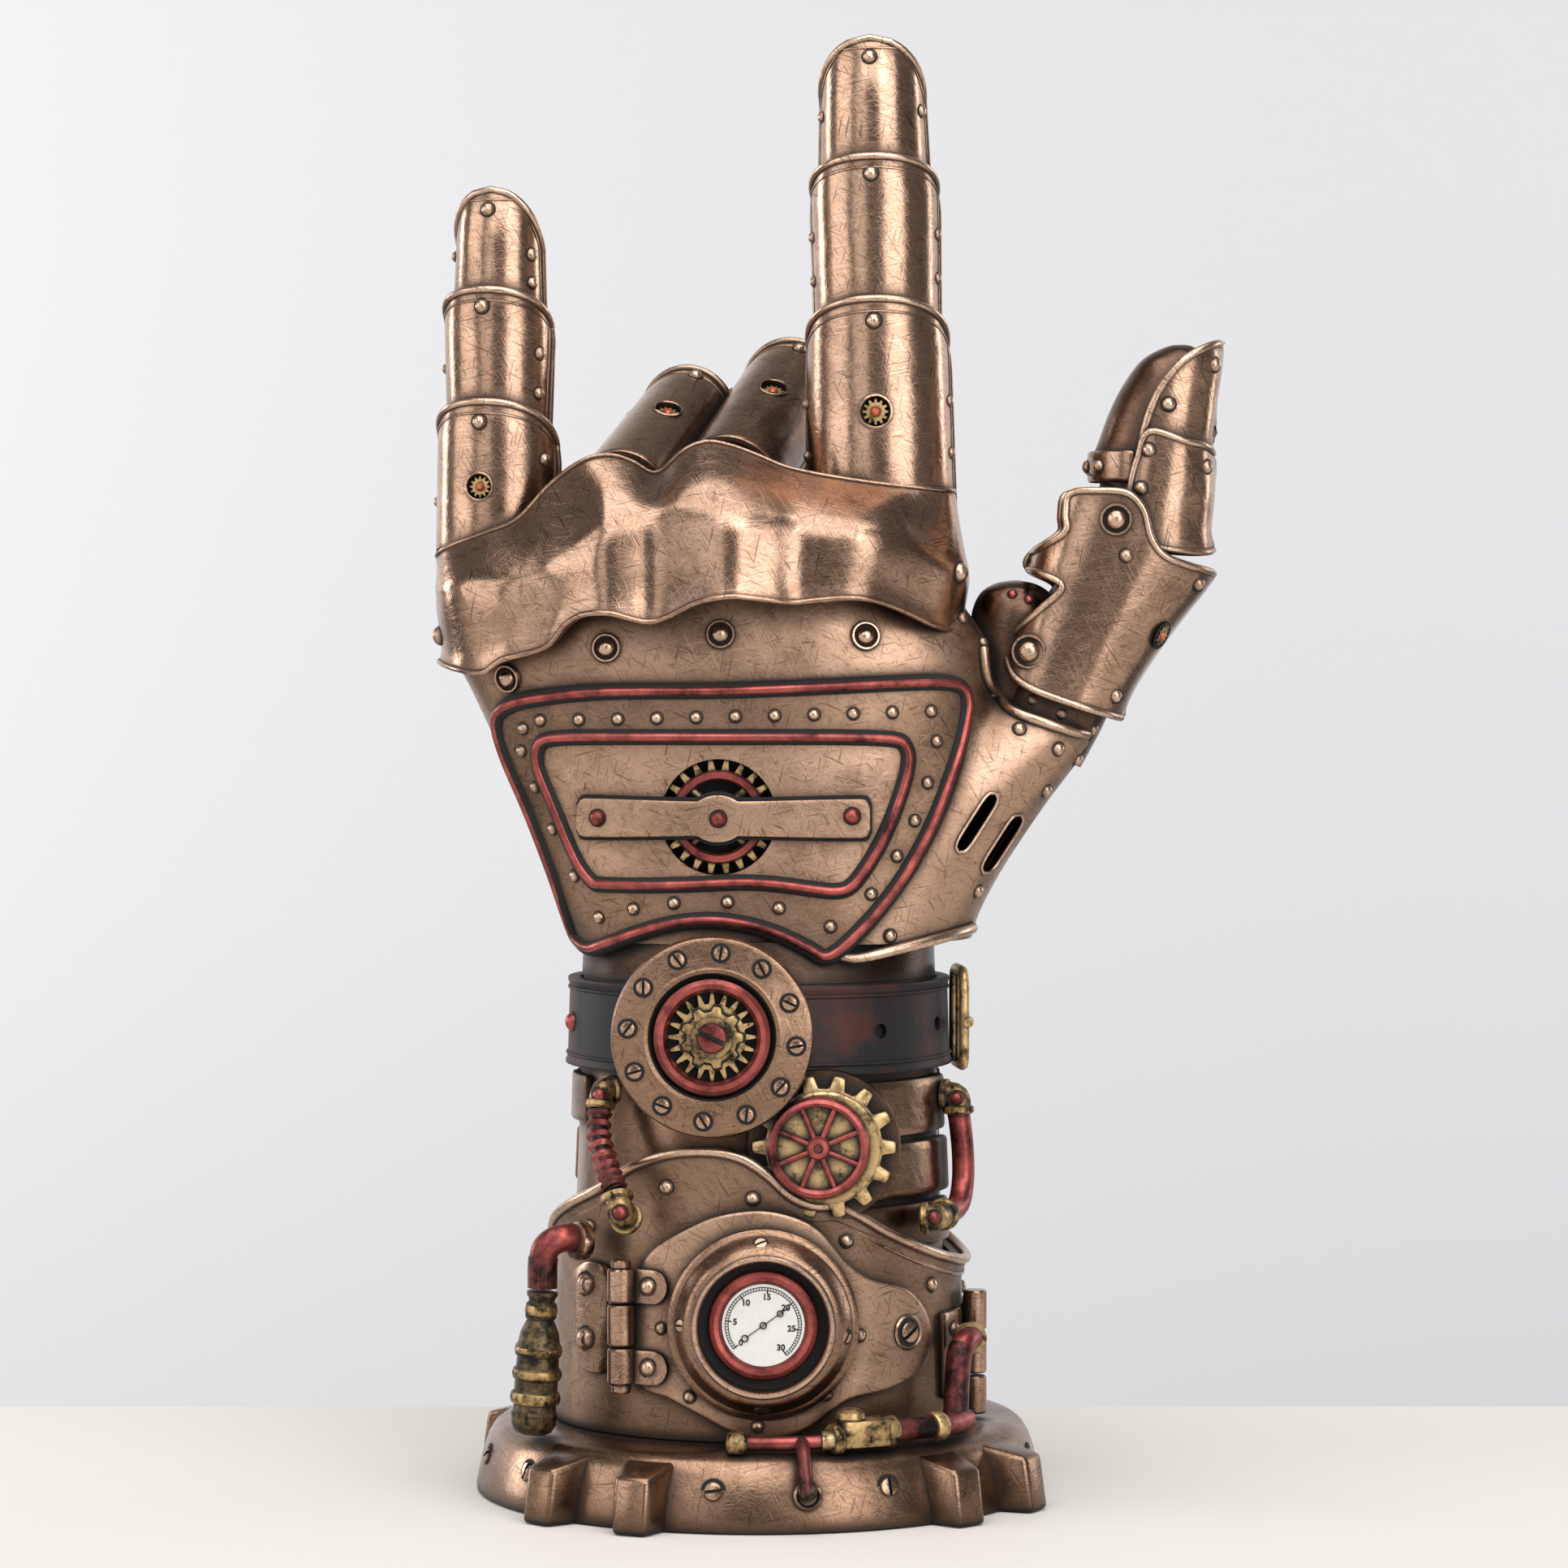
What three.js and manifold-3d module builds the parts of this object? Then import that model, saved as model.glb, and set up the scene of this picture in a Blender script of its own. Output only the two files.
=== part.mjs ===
// Armoured gauntlet of a left hand with raised index finger and little finger, on a cog-shaped foot.
// Millimetres, +Z up. The origin is the centre of the foot's underside; the back of the hand faces -Y.
import * as THREE from "three";
import { mergeVertices } from "three/addons/utils/BufferGeometryUtils.js";
import Module from "manifold-3d";

const wasm = await Module();
wasm.setup();

// ---------------------------------------------------------------- driving dimensions
const gap = 0.35; // clearance between neighbouring pieces
const sliver = 0.05; // detail smaller than this is dropped from a cut solid
const wall = 2.8; // cast wall of the arm and of the hand
const foot = { radius: 47, rimRadius: 43.8, rimZ: 12, shoulderZ: 9, boreRadius: 27.5 };
const tooth = { tip: 52.5, root: 41, tipWidth: 6, rootWidth: 9.5, tipZ: 8.2, rootZ: 10.6 };
const toothPairs = [-33, 51, 143, -127.5]; // middle of each pair of teeth, degrees from the front
const toothSpread = 10; // each tooth's angle from the middle of its pair
const strapZ = [70.8, 85.1];
const strapThickness = 2.2;
const cuffThickness = 2.6;
const doorThickness = 1.6;
const gaugeCentre = { x: 0.9, z: 31.7 };
const medallion = { x: -7.3, z: 77.6, radius: 16.1, face: -34 };
const cogWheel = { x: 10.6, z: 59.7, tip: 11.3, root: 9.3, face: -31.3 };
const windowCentre = { x: -6.4, z: 112.3, radius: 9.2 };

// Cross-sections of the arm: height, half width, half depth.
const armSections = [
  { z: foot.rimZ + gap, a: 31.4, b: 30.2 },
  { z: 40, a: 30.6, b: 29 },
  { z: 60, a: 29.8, b: 27.4 },
  { z: 78, a: 29.3, b: 26 },
  { z: 92, a: 28.8, b: 23.2 },
];

// Cross-sections of the hand: height, middle, half width, half depth, and the tilt of its top.
const handSections = [
  { z: 92 + gap, x: 3.2, a: 31.5, b: 22.5, tilt: 0 },
  { z: 99, x: 1.8, a: 34.3, b: 22, tilt: 0 },
  { z: 112, x: 0.5, a: 38.3, b: 21.5, tilt: 0 },
  { z: 124, x: -2, a: 41.3, b: 21, tilt: 0 },
  { z: 134, x: -4.5, a: 43.2, b: 20.5, tilt: 0.02 },
  { z: 144, x: -8.5, a: 41.8, b: 19.6, tilt: 0.06 },
  { z: 152.5, x: -9, a: 40.4, b: 18, tilt: 0.11 },
  { z: 158, x: -9.2, a: 39.5, b: 15.5, tilt: 0.14 },
  { z: 160.2, x: -9.2, a: 37, b: 11, tilt: 0.14 },
];

// ---------------------------------------------------------------- finishes
const finish = (color, metalness, roughness) =>
  new THREE.MeshStandardMaterial({ color, metalness, roughness });
const bronze = finish(0x8a6a50, 0.9, 0.38);
const darkBronze = finish(0x4a3a2f, 0.85, 0.5);
const copperRed = finish(0xb5534d, 0.75, 0.4);
const brass = finish(0xa98f4b, 0.85, 0.45);
const leather = finish(0x3a2a28, 0, 0.6);
const dialWhite = finish(0xf1efea, 0, 0.35);

const gauntlet = new THREE.Group();

function add(name, geometry, material, parent = gauntlet) {
  const mesh = new THREE.Mesh(geometry, material);
  mesh.name = name;
  parent.add(mesh);
  return mesh;
}

// ---------------------------------------------------------------- geometry helpers
const rad = THREE.MathUtils.degToRad;
const v3 = (x, y, z) => new THREE.Vector3(x, y, z);

function at(sections, z, key) {
  const last = sections.length - 1;
  let i = 0;
  while (i < last - 1 && z > sections[i + 1].z) i++;
  const [p, q] = [sections[i], sections[i + 1]];
  const share = THREE.MathUtils.clamp((z - p.z) / (q.z - p.z), 0, 1);
  return THREE.MathUtils.lerp(p[key], q[key], share);
}

// A point on an oval, at an angle in degrees from the front (-Y) towards +X. A power over 2 squares it off.
function onOval(angle, a, b, power = 2) {
  const s = Math.sin(rad(angle));
  const c = Math.cos(rad(angle));
  const soften = (k) => Math.sign(k) * Math.pow(Math.abs(k), 2 / power);
  return [a * soften(s), -b * soften(c)];
}

const ringAngles = (count) => Array.from({ length: count }, (_, i) => (360 * i) / count);

function faceOut(geometry) {
  const p = geometry.getAttribute("position");
  const index = geometry.index.array;
  const [a, b, c] = [v3(), v3(), v3()];
  let volume = 0;
  for (let i = 0; i < index.length; i += 3) {
    a.fromBufferAttribute(p, index[i]);
    b.fromBufferAttribute(p, index[i + 1]);
    c.fromBufferAttribute(p, index[i + 2]);
    volume += a.dot(b.cross(c));
  }
  if (volume < 0)
    for (let i = 0; i < index.length; i += 3)
      [index[i + 1], index[i + 2]] = [index[i + 2], index[i + 1]];
  geometry.computeVertexNormals();
  return geometry;
}

function indexed(points, index) {
  const geometry = new THREE.BufferGeometry();
  const flat = points.flatMap((p) => [p.x, p.y, p.z]);
  geometry.setAttribute("position", new THREE.Float32BufferAttribute(flat, 3));
  geometry.setIndex(index);
  return faceOut(geometry);
}

// Skins a row of rings with the same number of points. The ends are capped, or joined when looped is true.
function loft(rings, looped = false) {
  const n = rings[0].length;
  const points = rings.flat();
  const index = [];
  const spans = looped ? rings.length : rings.length - 1;
  for (let r = 0; r < spans; r++) {
    const low = r * n;
    const high = ((r + 1) % rings.length) * n;
    for (let i = 0; i < n; i++) {
      const j = (i + 1) % n;
      index.push(low + i, low + j, high + j, low + i, high + j, high + i);
    }
  }
  if (!looped)
    for (const [ring, first] of [[rings[0], 0], [rings.at(-1), (rings.length - 1) * n]]) {
      const middle = ring.reduce((sum, p) => sum.add(p), v3()).divideScalar(n);
      points.push(middle);
      for (let i = 0; i < n; i++) {
        const j = (i + 1) % n;
        if (first === 0) index.push(points.length - 1, first + j, first + i);
        else index.push(points.length - 1, first + i, first + j);
      }
    }
  return indexed(points, index);
}

// A curved plate: point(u, v) is its outer surface for u and v from 0 to 1, and it is thickness deep.
function plate(point, columns, rows, thickness) {
  const small = 1e-3;
  const outer = [];
  const inner = [];
  for (let j = 0; j <= rows; j++)
    for (let i = 0; i <= columns; i++) {
      const [u, v] = [i / columns, j / rows];
      const along = point(Math.min(1, u + small), v).sub(point(Math.max(0, u - small), v));
      const up = point(u, Math.min(1, v + small)).sub(point(u, Math.max(0, v - small)));
      const inward = up.cross(along).normalize();
      outer.push(point(u, v));
      inner.push(point(u, v).addScaledVector(inward, thickness));
    }
  const count = outer.length;
  const cell = (i, j) => j * (columns + 1) + i;
  const index = [];
  const quad = (a, b, c, d) => index.push(a, b, c, a, c, d);
  for (let j = 0; j < rows; j++)
    for (let i = 0; i < columns; i++) {
      const corners = [cell(i, j), cell(i + 1, j), cell(i + 1, j + 1), cell(i, j + 1)];
      quad(...corners);
      quad(...corners.map((k) => k + count).reverse());
    }
  const edge = [];
  for (let i = 0; i < columns; i++) edge.push(cell(i, 0));
  for (let j = 0; j < rows; j++) edge.push(cell(columns, j));
  for (let i = columns; i > 0; i--) edge.push(cell(i, rows));
  for (let j = rows; j > 0; j--) edge.push(cell(0, j));
  edge.forEach((k, i) => {
    const next = edge[(i + 1) % edge.length];
    quad(next, k, k + count, next + count);
  });
  return indexed([...outer, ...inner], index);
}

// A tube of radius r along a smooth path through the given points.
function tube(points, r, steps = 10, sides = 8) {
  const section = new THREE.Shape().absarc(0, 0, r, 0, 2 * Math.PI);
  return new THREE.ExtrudeGeometry(section, {
    curveSegments: sides / 2,
    steps,
    bevelEnabled: false,
    extrudePath: new THREE.CatmullRomCurve3(points.map((p) => v3(...p))),
  });
}

// A pipe elbow: flat round ends at two points and a ball at the corner between them.
function elbow(from, corner, to, r) {
  const ball = wasm.Manifold.sphere(r, 16).translate(corner);
  const leg = (end) => {
    const aim = v3(...end).sub(v3(...corner)).normalize();
    const disc = new THREE.CylinderGeometry(r, r, 0.3, 16);
    disc.applyQuaternion(new THREE.Quaternion().setFromUnitVectors(v3(0, 1, 0), aim));
    return wasm.Manifold.hull([ball, solid(disc.translate(...end))]);
  };
  return geometryOf(leg(from).add(leg(to)));
}

// A turned piece whose axis points to the viewer (-Y): profile points are [radius, height].
function turned(profile, x, y, z, segments = 24) {
  const points = profile.map(([r, h]) => new THREE.Vector2(r, h));
  return new THREE.LatheGeometry(points, segments).rotateX(Math.PI).translate(x, y, z);
}

// A turned piece with an upright axis: profile points are [radius, height].
function turnedUpright(profile, x, y, z, segments = 24) {
  const points = profile.map(([r, h]) => new THREE.Vector2(r, h));
  return new THREE.LatheGeometry(points, segments).rotateX(Math.PI / 2).translate(x, y, z);
}

const block = (w, d, h, x, y, z) => new THREE.BoxGeometry(w, d, h).translate(x, y, z);

// A closed mesh as a manifold solid, and back again.
function solid(geometry) {
  const bare = geometry.clone();
  for (const name of ["normal", "uv"]) bare.deleteAttribute(name);
  const merged = mergeVertices(bare, 1e-4);
  const made = new wasm.Manifold(
    new wasm.Mesh({
      numProp: 3,
      vertProperties: new Float32Array(merged.attributes.position.array),
      triVerts: new Uint32Array(merged.index.array),
    }),
  );
  if (made.volume() > 0) return made;
  return solid(faceOut(merged));
}

// The mesh of a manifold solid, with slivers dropped and its closest points joined.
function geometryOf(manifold) {
  const mesh = manifold.simplify(sliver).getMesh();
  const rough = new THREE.BufferGeometry();
  rough.setAttribute("position", new THREE.BufferAttribute(mesh.vertProperties, 3));
  rough.setIndex(new THREE.BufferAttribute(mesh.triVerts, 1));
  const geometry = mergeVertices(rough, sliver / 2);
  const index = geometry.index.array;
  const kept = [];
  for (let i = 0; i < index.length; i += 3) {
    const [a, b, c] = [index[i], index[i + 1], index[i + 2]];
    if (a !== b && b !== c && c !== a) kept.push(a, b, c);
  }
  geometry.setIndex(kept);
  geometry.computeVertexNormals();
  return geometry;
}

const biggest = (manifold) => manifold.decompose().sort((a, b) => b.volume() - a.volume())[0];

const join = (...geometries) => geometries.map(solid).reduce((a, b) => a.add(b));

// Pushes a flat outline, drawn as seen from the front, through the object along Y.
function throughY(shape, from, to, curveSegments = 8) {
  const depth = to - from;
  const options = { depth, bevelEnabled: false, curveSegments };
  return new THREE.ExtrudeGeometry(shape, options).rotateX(Math.PI / 2).translate(0, to, 0);
}

// ---------------------------------------------------------------- reference surfaces
function armRing(z, grow, count) {
  const [a, b] = [at(armSections, z, "a") + grow, at(armSections, z, "b") + grow];
  return ringAngles(count).map((angle) => v3(...onOval(angle, a, b), z));
}

function armSolid(grow, zLow, zHigh, count = 40) {
  const between = armSections.map((s) => s.z).filter((z) => z > zLow && z < zHigh);
  return solid(loft([zLow, ...between, zHigh].map((z) => armRing(z, grow, count))));
}

function handPoint(section, angle, grow) {
  const [x, y] = onOval(angle, section.a + grow, section.b + grow, 2.6);
  return v3(section.x + x, y, section.z + section.tilt * (section.x + x + 9));
}

const handRing = (section, grow, count) =>
  ringAngles(count).map((angle) => handPoint(section, angle, grow));

// The ball of the thumb: rings whose middle, half width and slope carry the hand over to the thumb.
const thenarRings = [
  { x: 13, z: 92 + gap, a: 22.3, b: 20.5, slope: 0 },
  { x: 20, z: 105, a: 18.8, b: 19.5, slope: -12 },
  { x: 30, z: 117, a: 17, b: 17, slope: -15 },
  { x: 39, z: 122.5, a: 12.8, b: 13.5, slope: -20 },
  { x: 47.8, z: 128, a: 8.2, b: 10, slope: -23 },
];

function thenar(grow, count = 20) {
  const rings = thenarRings.map((ring) =>
    ringAngles(count).map((angle) => {
      const [u, y] = onOval(angle, ring.a + grow, ring.b + grow, 2.2);
      return v3(ring.x + u * Math.cos(rad(ring.slope)), y, ring.z + u * Math.sin(rad(ring.slope)));
    }),
  );
  return solid(loft(rings));
}

const handBody = (grow, count = 28) =>
  solid(loft(handSections.map((s) => handRing(s, grow, count)))).add(thenar(grow));

// Height of the cuff's wavy rim at an angle from the front, in degrees.
function cuffRim(angle) {
  const turn = angle > 180 ? angle - 360 : angle;
  const frontWave = 20 * Math.exp(-(((turn + 16) / 48) ** 2));
  const backWave = 11 * Math.exp(-(((Math.abs(turn) - 180) / 42) ** 2));
  return 38.5 + frontWave + backWave;
}

function cuffSolid(grow = 0) {
  const count = 48;
  const shares = [0, 0.35, 0.7, 0.92, 1];
  const ring = (share, inside) =>
    ringAngles(count).map((angle) => {
      const bottom = foot.rimZ + gap - grow;
      const z = bottom + (cuffRim(angle) + grow - bottom) * share;
      const flare = share === 1 ? 0.9 : 0;
      const out = gap + flare + (inside ? -grow : cuffThickness + grow);
      const [a, b] = [at(armSections, z, "a") + out, at(armSections, z, "b") + out];
      return v3(...onOval(angle, a, b), z);
    });
  const outer = shares.map((share) => ring(share, false));
  const inner = shares.map((share) => ring(share, true)).reverse();
  return solid(loft([...outer, ...inner], true));
}

// ---------------------------------------------------------------- foot
function cogFoot() {
  const { radius, rimRadius, rimZ, shoulderZ, boreRadius } = foot;
  const profile = [
    [boreRadius, 0],
    [radius, 0],
    [radius, shoulderZ - 1.5],
    [rimRadius + 0.8, rimZ - 0.5],
    [rimRadius - 1, rimZ],
    [boreRadius, rimZ],
    [boreRadius, 0],
  ];
  let made = solid(turnedUpright(profile, 0, 0, 0, 56));
  for (const pair of toothPairs)
    for (const side of [-toothSpread, toothSpread]) {
      const corners = (r, width, z) => [
        v3(-width / 2, -r, 0),
        v3(width / 2, -r, 0),
        v3(width / 2, -r, z),
        v3(-width / 2, -r, z),
      ];
      const cog = loft([
        corners(tooth.root, tooth.rootWidth, tooth.rootZ),
        corners(tooth.tip, tooth.tipWidth, tooth.tipZ),
      ]).rotateZ(rad(pair + side));
      made = made.add(solid(cog));
    }
  add("cog_foot", geometryOf(made), bronze);
}

// ---------------------------------------------------------------- arm
function armTube() {
  const rings = armSections.map((s) => armRing(s.z, 0, 40));
  const inner = armSections.map((s) => armRing(s.z, -wall, 40)).reverse();
  add("arm_tube", loft([...rings, ...inner], true), darkBronze);
  add("cuff", geometryOf(cuffSolid()), bronze);
}

// The door's outline: a round middle about the gauge, a neck to the hinge and a lobe for the lock screw.
function doorOutline() {
  const { x, z } = gaugeCentre;
  const r = 18.2;
  const hingeX = -18.9;
  const shape = new THREE.Shape();
  shape.moveTo(hingeX, 21);
  shape.quadraticCurveTo(-13, 20, x + r * Math.cos(rad(235)), z + r * Math.sin(rad(235)));
  shape.absarc(x, z, r, rad(235), rad(305), false);
  shape.quadraticCurveTo(14.5, 19.4, 20, 20.2);
  shape.quadraticCurveTo(28.4, 20.6, 28.4, 28);
  shape.quadraticCurveTo(28, 35, 21.5, 37.3);
  shape.quadraticCurveTo(17, 38.6, x + r * Math.cos(rad(42)), z + r * Math.sin(rad(42)));
  shape.absarc(x, z, r, rad(42), rad(132), false);
  shape.lineTo(hingeX, 41);
  return shape;
}

// A plate cut to an outline and laid on a surface, between two growths of that surface.
const patch = (outer, inner, shape, from = -70, to = 0) =>
  outer.subtract(inner).intersect(solid(throughY(shape, from, to)));

const doorInside = cuffThickness + 2 * gap;
const doorOutside = doorInside + doorThickness;

function rounded(x0, z0, x1, z1, r) {
  const shape = new THREE.Shape();
  shape.moveTo(x0 + r, z0);
  shape.lineTo(x1 - r, z0).absarc(x1 - r, z0 + r, r, rad(-90), 0, false);
  shape.lineTo(x1, z1 - r).absarc(x1 - r, z1 - r, r, 0, rad(90), false);
  shape.lineTo(x0 + r, z1).absarc(x0 + r, z1 - r, r, rad(90), rad(180), false);
  shape.lineTo(x0, z0 + r).absarc(x0 + r, z0 + r, r, rad(180), rad(270), false);
  return shape;
}

function door() {
  const base = armSolid(doorInside, 5, 70);
  const skin = armSolid(doorOutside, 5, 70);
  add("door_plate", geometryOf(patch(skin, base, doorOutline())), bronze);

  // Hinge: three barrels on a pin, a leaf on the cuff and two leaves on the door.
  const [hx, hy] = [-22, -28.1];
  const barrels = [[21.8, 7], [28.9, 5.8], [34.8, 6.2]].map(([z, height]) =>
    solid(turnedUpright([[0, z], [2.2, z], [2.2, z + height], [0, z + height]], hx, hy, 0, 16)),
  );
  const pin = solid(turnedUpright([[0, 20.6], [1.5, 20.6], [1.5, 42], [0, 42]], hx, hy, 0, 12));
  const cuffSkin = armSolid(cuffThickness + 2 * gap, 5, 70);
  const cuffLeaf = armSolid(cuffThickness + 2 * gap + 1, 5, 70);
  const fixedLeaf = patch(cuffLeaf, cuffSkin, rounded(-28.6, 22.6, -21.4, 39.4, 3.2));
  const doorSkin = armSolid(doorOutside + gap, 5, 70);
  const doorLeaf = armSolid(doorOutside + gap + 0.9, 5, 70);
  const leaves = [24.3, 37.3].map((z) =>
    patch(doorLeaf, doorSkin, rounded(-21.4, z - 2.4, -14.8, z + 2.4, 1.6)),
  );
  const hinge = [...barrels, fixedLeaf, ...leaves].reduce((a, b) => a.add(b), pin);
  add("door_hinge", geometryOf(hinge), bronze);

  // Gauge: a raised bezel, a red ring and the printed dial.
  const { x, z } = gaugeCentre;
  const y = -(at(armSections, z, "b") + doorOutside + gap);
  const bezelProfile = [
    [10.2, -8],
    [15, -8],
    [15, 0.9],
    [12.4, 3.8],
    [11.2, 3.8],
    [10.2, 2.4],
    [10.2, -8],
  ];
  const bezel = solid(turned(bezelProfile, x, y, z, 28)).subtract(armSolid(doorOutside + gap, 5, 70));
  add("gauge_bezel", geometryOf(bezel), bronze);
  const ringProfile = [[7.4, gap], [9.7, gap], [9.7, 1.6], [8.9, 2.3], [8, 2.3], [7.4, 1.4], [7.4, gap]];
  add("gauge_ring", turned(ringProfile, x, y, z), copperRed);
  add("gauge_dial", turned([[0, gap], [7, gap], [7, 1.1], [0, 1.1]], x, y, z), dialWhite);

  // Lock screw on the door's lobe, where the arm's side turns away.
  const lock = { x: 23.6, z: 29.4, half: 36.5 };
  const lockY = -(at(armSections, z, "b") + doorOutside) * Math.cos(Math.asin(lock.x / lock.half));
  const head = [[0, -0.2], [2, -0.2], [2, 1], [1.2, 1.9], [0, 1.9]];
  add("door_lock_screw", turned(head, lock.x, lockY - 2, lock.z, 16), bronze);
}

// The upright hinge on the arm's thumb side.
function sideHinge() {
  const [x, y] = [35.6, -7.2];
  const leafInside = armSolid(cuffThickness + 2 * gap, 5, 70);
  const leafOutside = armSolid(cuffThickness + 2 * gap + 1, 5, 70);
  const leaf = leafOutside.subtract(leafInside).intersect(solid(block(8, 9, 7, 35.5, -10, 29)));
  const barrels = [[13.2, 6], [19.6, 7], [27, 6.4]].map(([z, height]) =>
    solid(turnedUpright([[0, z], [1.8, z], [1.8, z + height], [0, z + height]], x, y, 0, 14)),
  );
  const pin = solid(turnedUpright([[0, 12.7], [1.2, 12.7], [1.2, 34], [0, 34]], x, y, 0, 10));
  add("side_hinge", geometryOf([...barrels, leaf].reduce((a, b) => a.add(b), pin)), bronze);
}

function toothedOutline(teeth, root, tip, rootShare = 0.62, tipShare = 0.36) {
  const shape = new THREE.Shape();
  for (let i = 0; i < teeth; i++) {
    const middle = (360 * i) / teeth;
    const pitch = 360 / teeth;
    const corners = [
      [root, -rootShare / 2],
      [tip, -tipShare / 2],
      [tip, tipShare / 2],
      [root, rootShare / 2],
    ];
    for (const [r, share] of corners) {
      const angle = rad(middle + pitch * share);
      const [px, pz] = [r * Math.cos(angle), r * Math.sin(angle)];
      if (shape.curves.length || shape.currentPoint.length()) shape.lineTo(px, pz);
      else shape.moveTo(px, pz);
    }
  }
  return shape;
}

function roundHole(r) {
  return new THREE.Path().absarc(0, 0, r, 0, 2 * Math.PI, true);
}

function wheels() {
  const { x, z, tip, root, face } = cogWheel;
  const cog = throughY(toothedOutline(12, root, tip), face, face + 2.4).translate(x, 0, z);
  const keepOut = cuffSolid(gap).add(armSolid(gap, 5, 90));
  add("wheel_cog", geometryOf(biggest(solid(cog).subtract(keepOut))), brass);

  const rim = [[6.8, 0.4], [8, 0.4], [8.2, 1.2], [7.6, 1.9], [7, 1.9], [6.6, 1.2], [6.8, 0.4]];
  const wheelX = x - 0.9;
  const wheelY = face - gap;
  let wheel = solid(turned(rim, wheelX, wheelY, z, 20));
  wheel = wheel.add(solid(turned([[0, 0.3], [1.9, 0.3], [1.9, 2.2], [0, 2.2]], wheelX, wheelY, z, 12)));
  for (let i = 0; i < 4; i++) {
    const spoke = block(14.4, 0.9, 0.9, 0, 0, 0).rotateY(rad(45 * i));
    wheel = wheel.add(solid(spoke.translate(wheelX, wheelY - 1, z)));
  }
  add("spoke_wheel", geometryOf(wheel), copperRed);
}

function strapAndMedallion() {
  const [low, high] = strapZ;
  const out = gap + strapThickness;
  const middle = armSections[3].z;
  const rings = [[low, out], [middle, out], [high, out], [high, gap], [middle, gap], [low, gap]];
  add("strap", loft(rings.map(([z, grow]) => armRing(z, grow, 40)), true), leather);

  // Buckle: an upright frame on the thumb side, with its prong.
  const buckleX = at(armSections, 78, "a") + out + gap;
  const frame = solid(block(2.6, 13, 17.4, buckleX + 1.3, -1, 78.3)).subtract(
    solid(block(6, 8.6, 13.4, buckleX + 1.3, -1, 78.3)),
  );
  add("strap_buckle", geometryOf(frame), brass);
  add("buckle_prong", block(1.4, 7.8, 2, buckleX + 1, -1, 77.4), brass);

  const { x, z, radius, face } = medallion;
  const drum = radius - 4.2;
  const dish = [
    [0, -14],
    [drum, -14],
    [drum, -2.6],
    [radius, -2.6],
    [radius, -0.5],
    [radius - 0.6, 0],
    [10.2, 0],
    [9.9, -0.4],
    [9.9, -2.2],
    [0, -2.2],
  ];
  const upperArm = solid(loft([armRing(60, gap, 40), armRing(95, gap, 40)]));
  const seat = armSolid(out + gap, 5, 90).add(upperArm);
  const flange = biggest(solid(turned(dish, x, face, z, 28)).subtract(seat));
  add("medallion_flange", geometryOf(flange), bronze);
  const ring = [[7.2, -1.8], [9.5, -1.8], [9.5, -0.2], [8.9, 0.6], [7.9, 0.6], [7.2, -0.2], [7.2, -1.8]];
  add("medallion_ring", turned(ring, x, face, z), copperRed);
  const gearFace = face + 1.8;
  const gear = throughY(toothedOutline(18, 5, 6.8, 0.7, 0.3), gearFace - 0.9, gearFace);
  const pinion = throughY(toothedOutline(8, 3.7, 4.5, 0.7, 0.4), gearFace - 2, gearFace - 0.8);
  add("medallion_gear", geometryOf(join(gear, pinion).translate([x, 0, z])), brass);
  const head = [[0, 0.6], [2.4, 0.6], [2.4, 1.1], [1.8, 1.5], [0, 1.5]];
  add("medallion_screw", turned(head, x, face, z, 16), copperRed);
}

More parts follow.
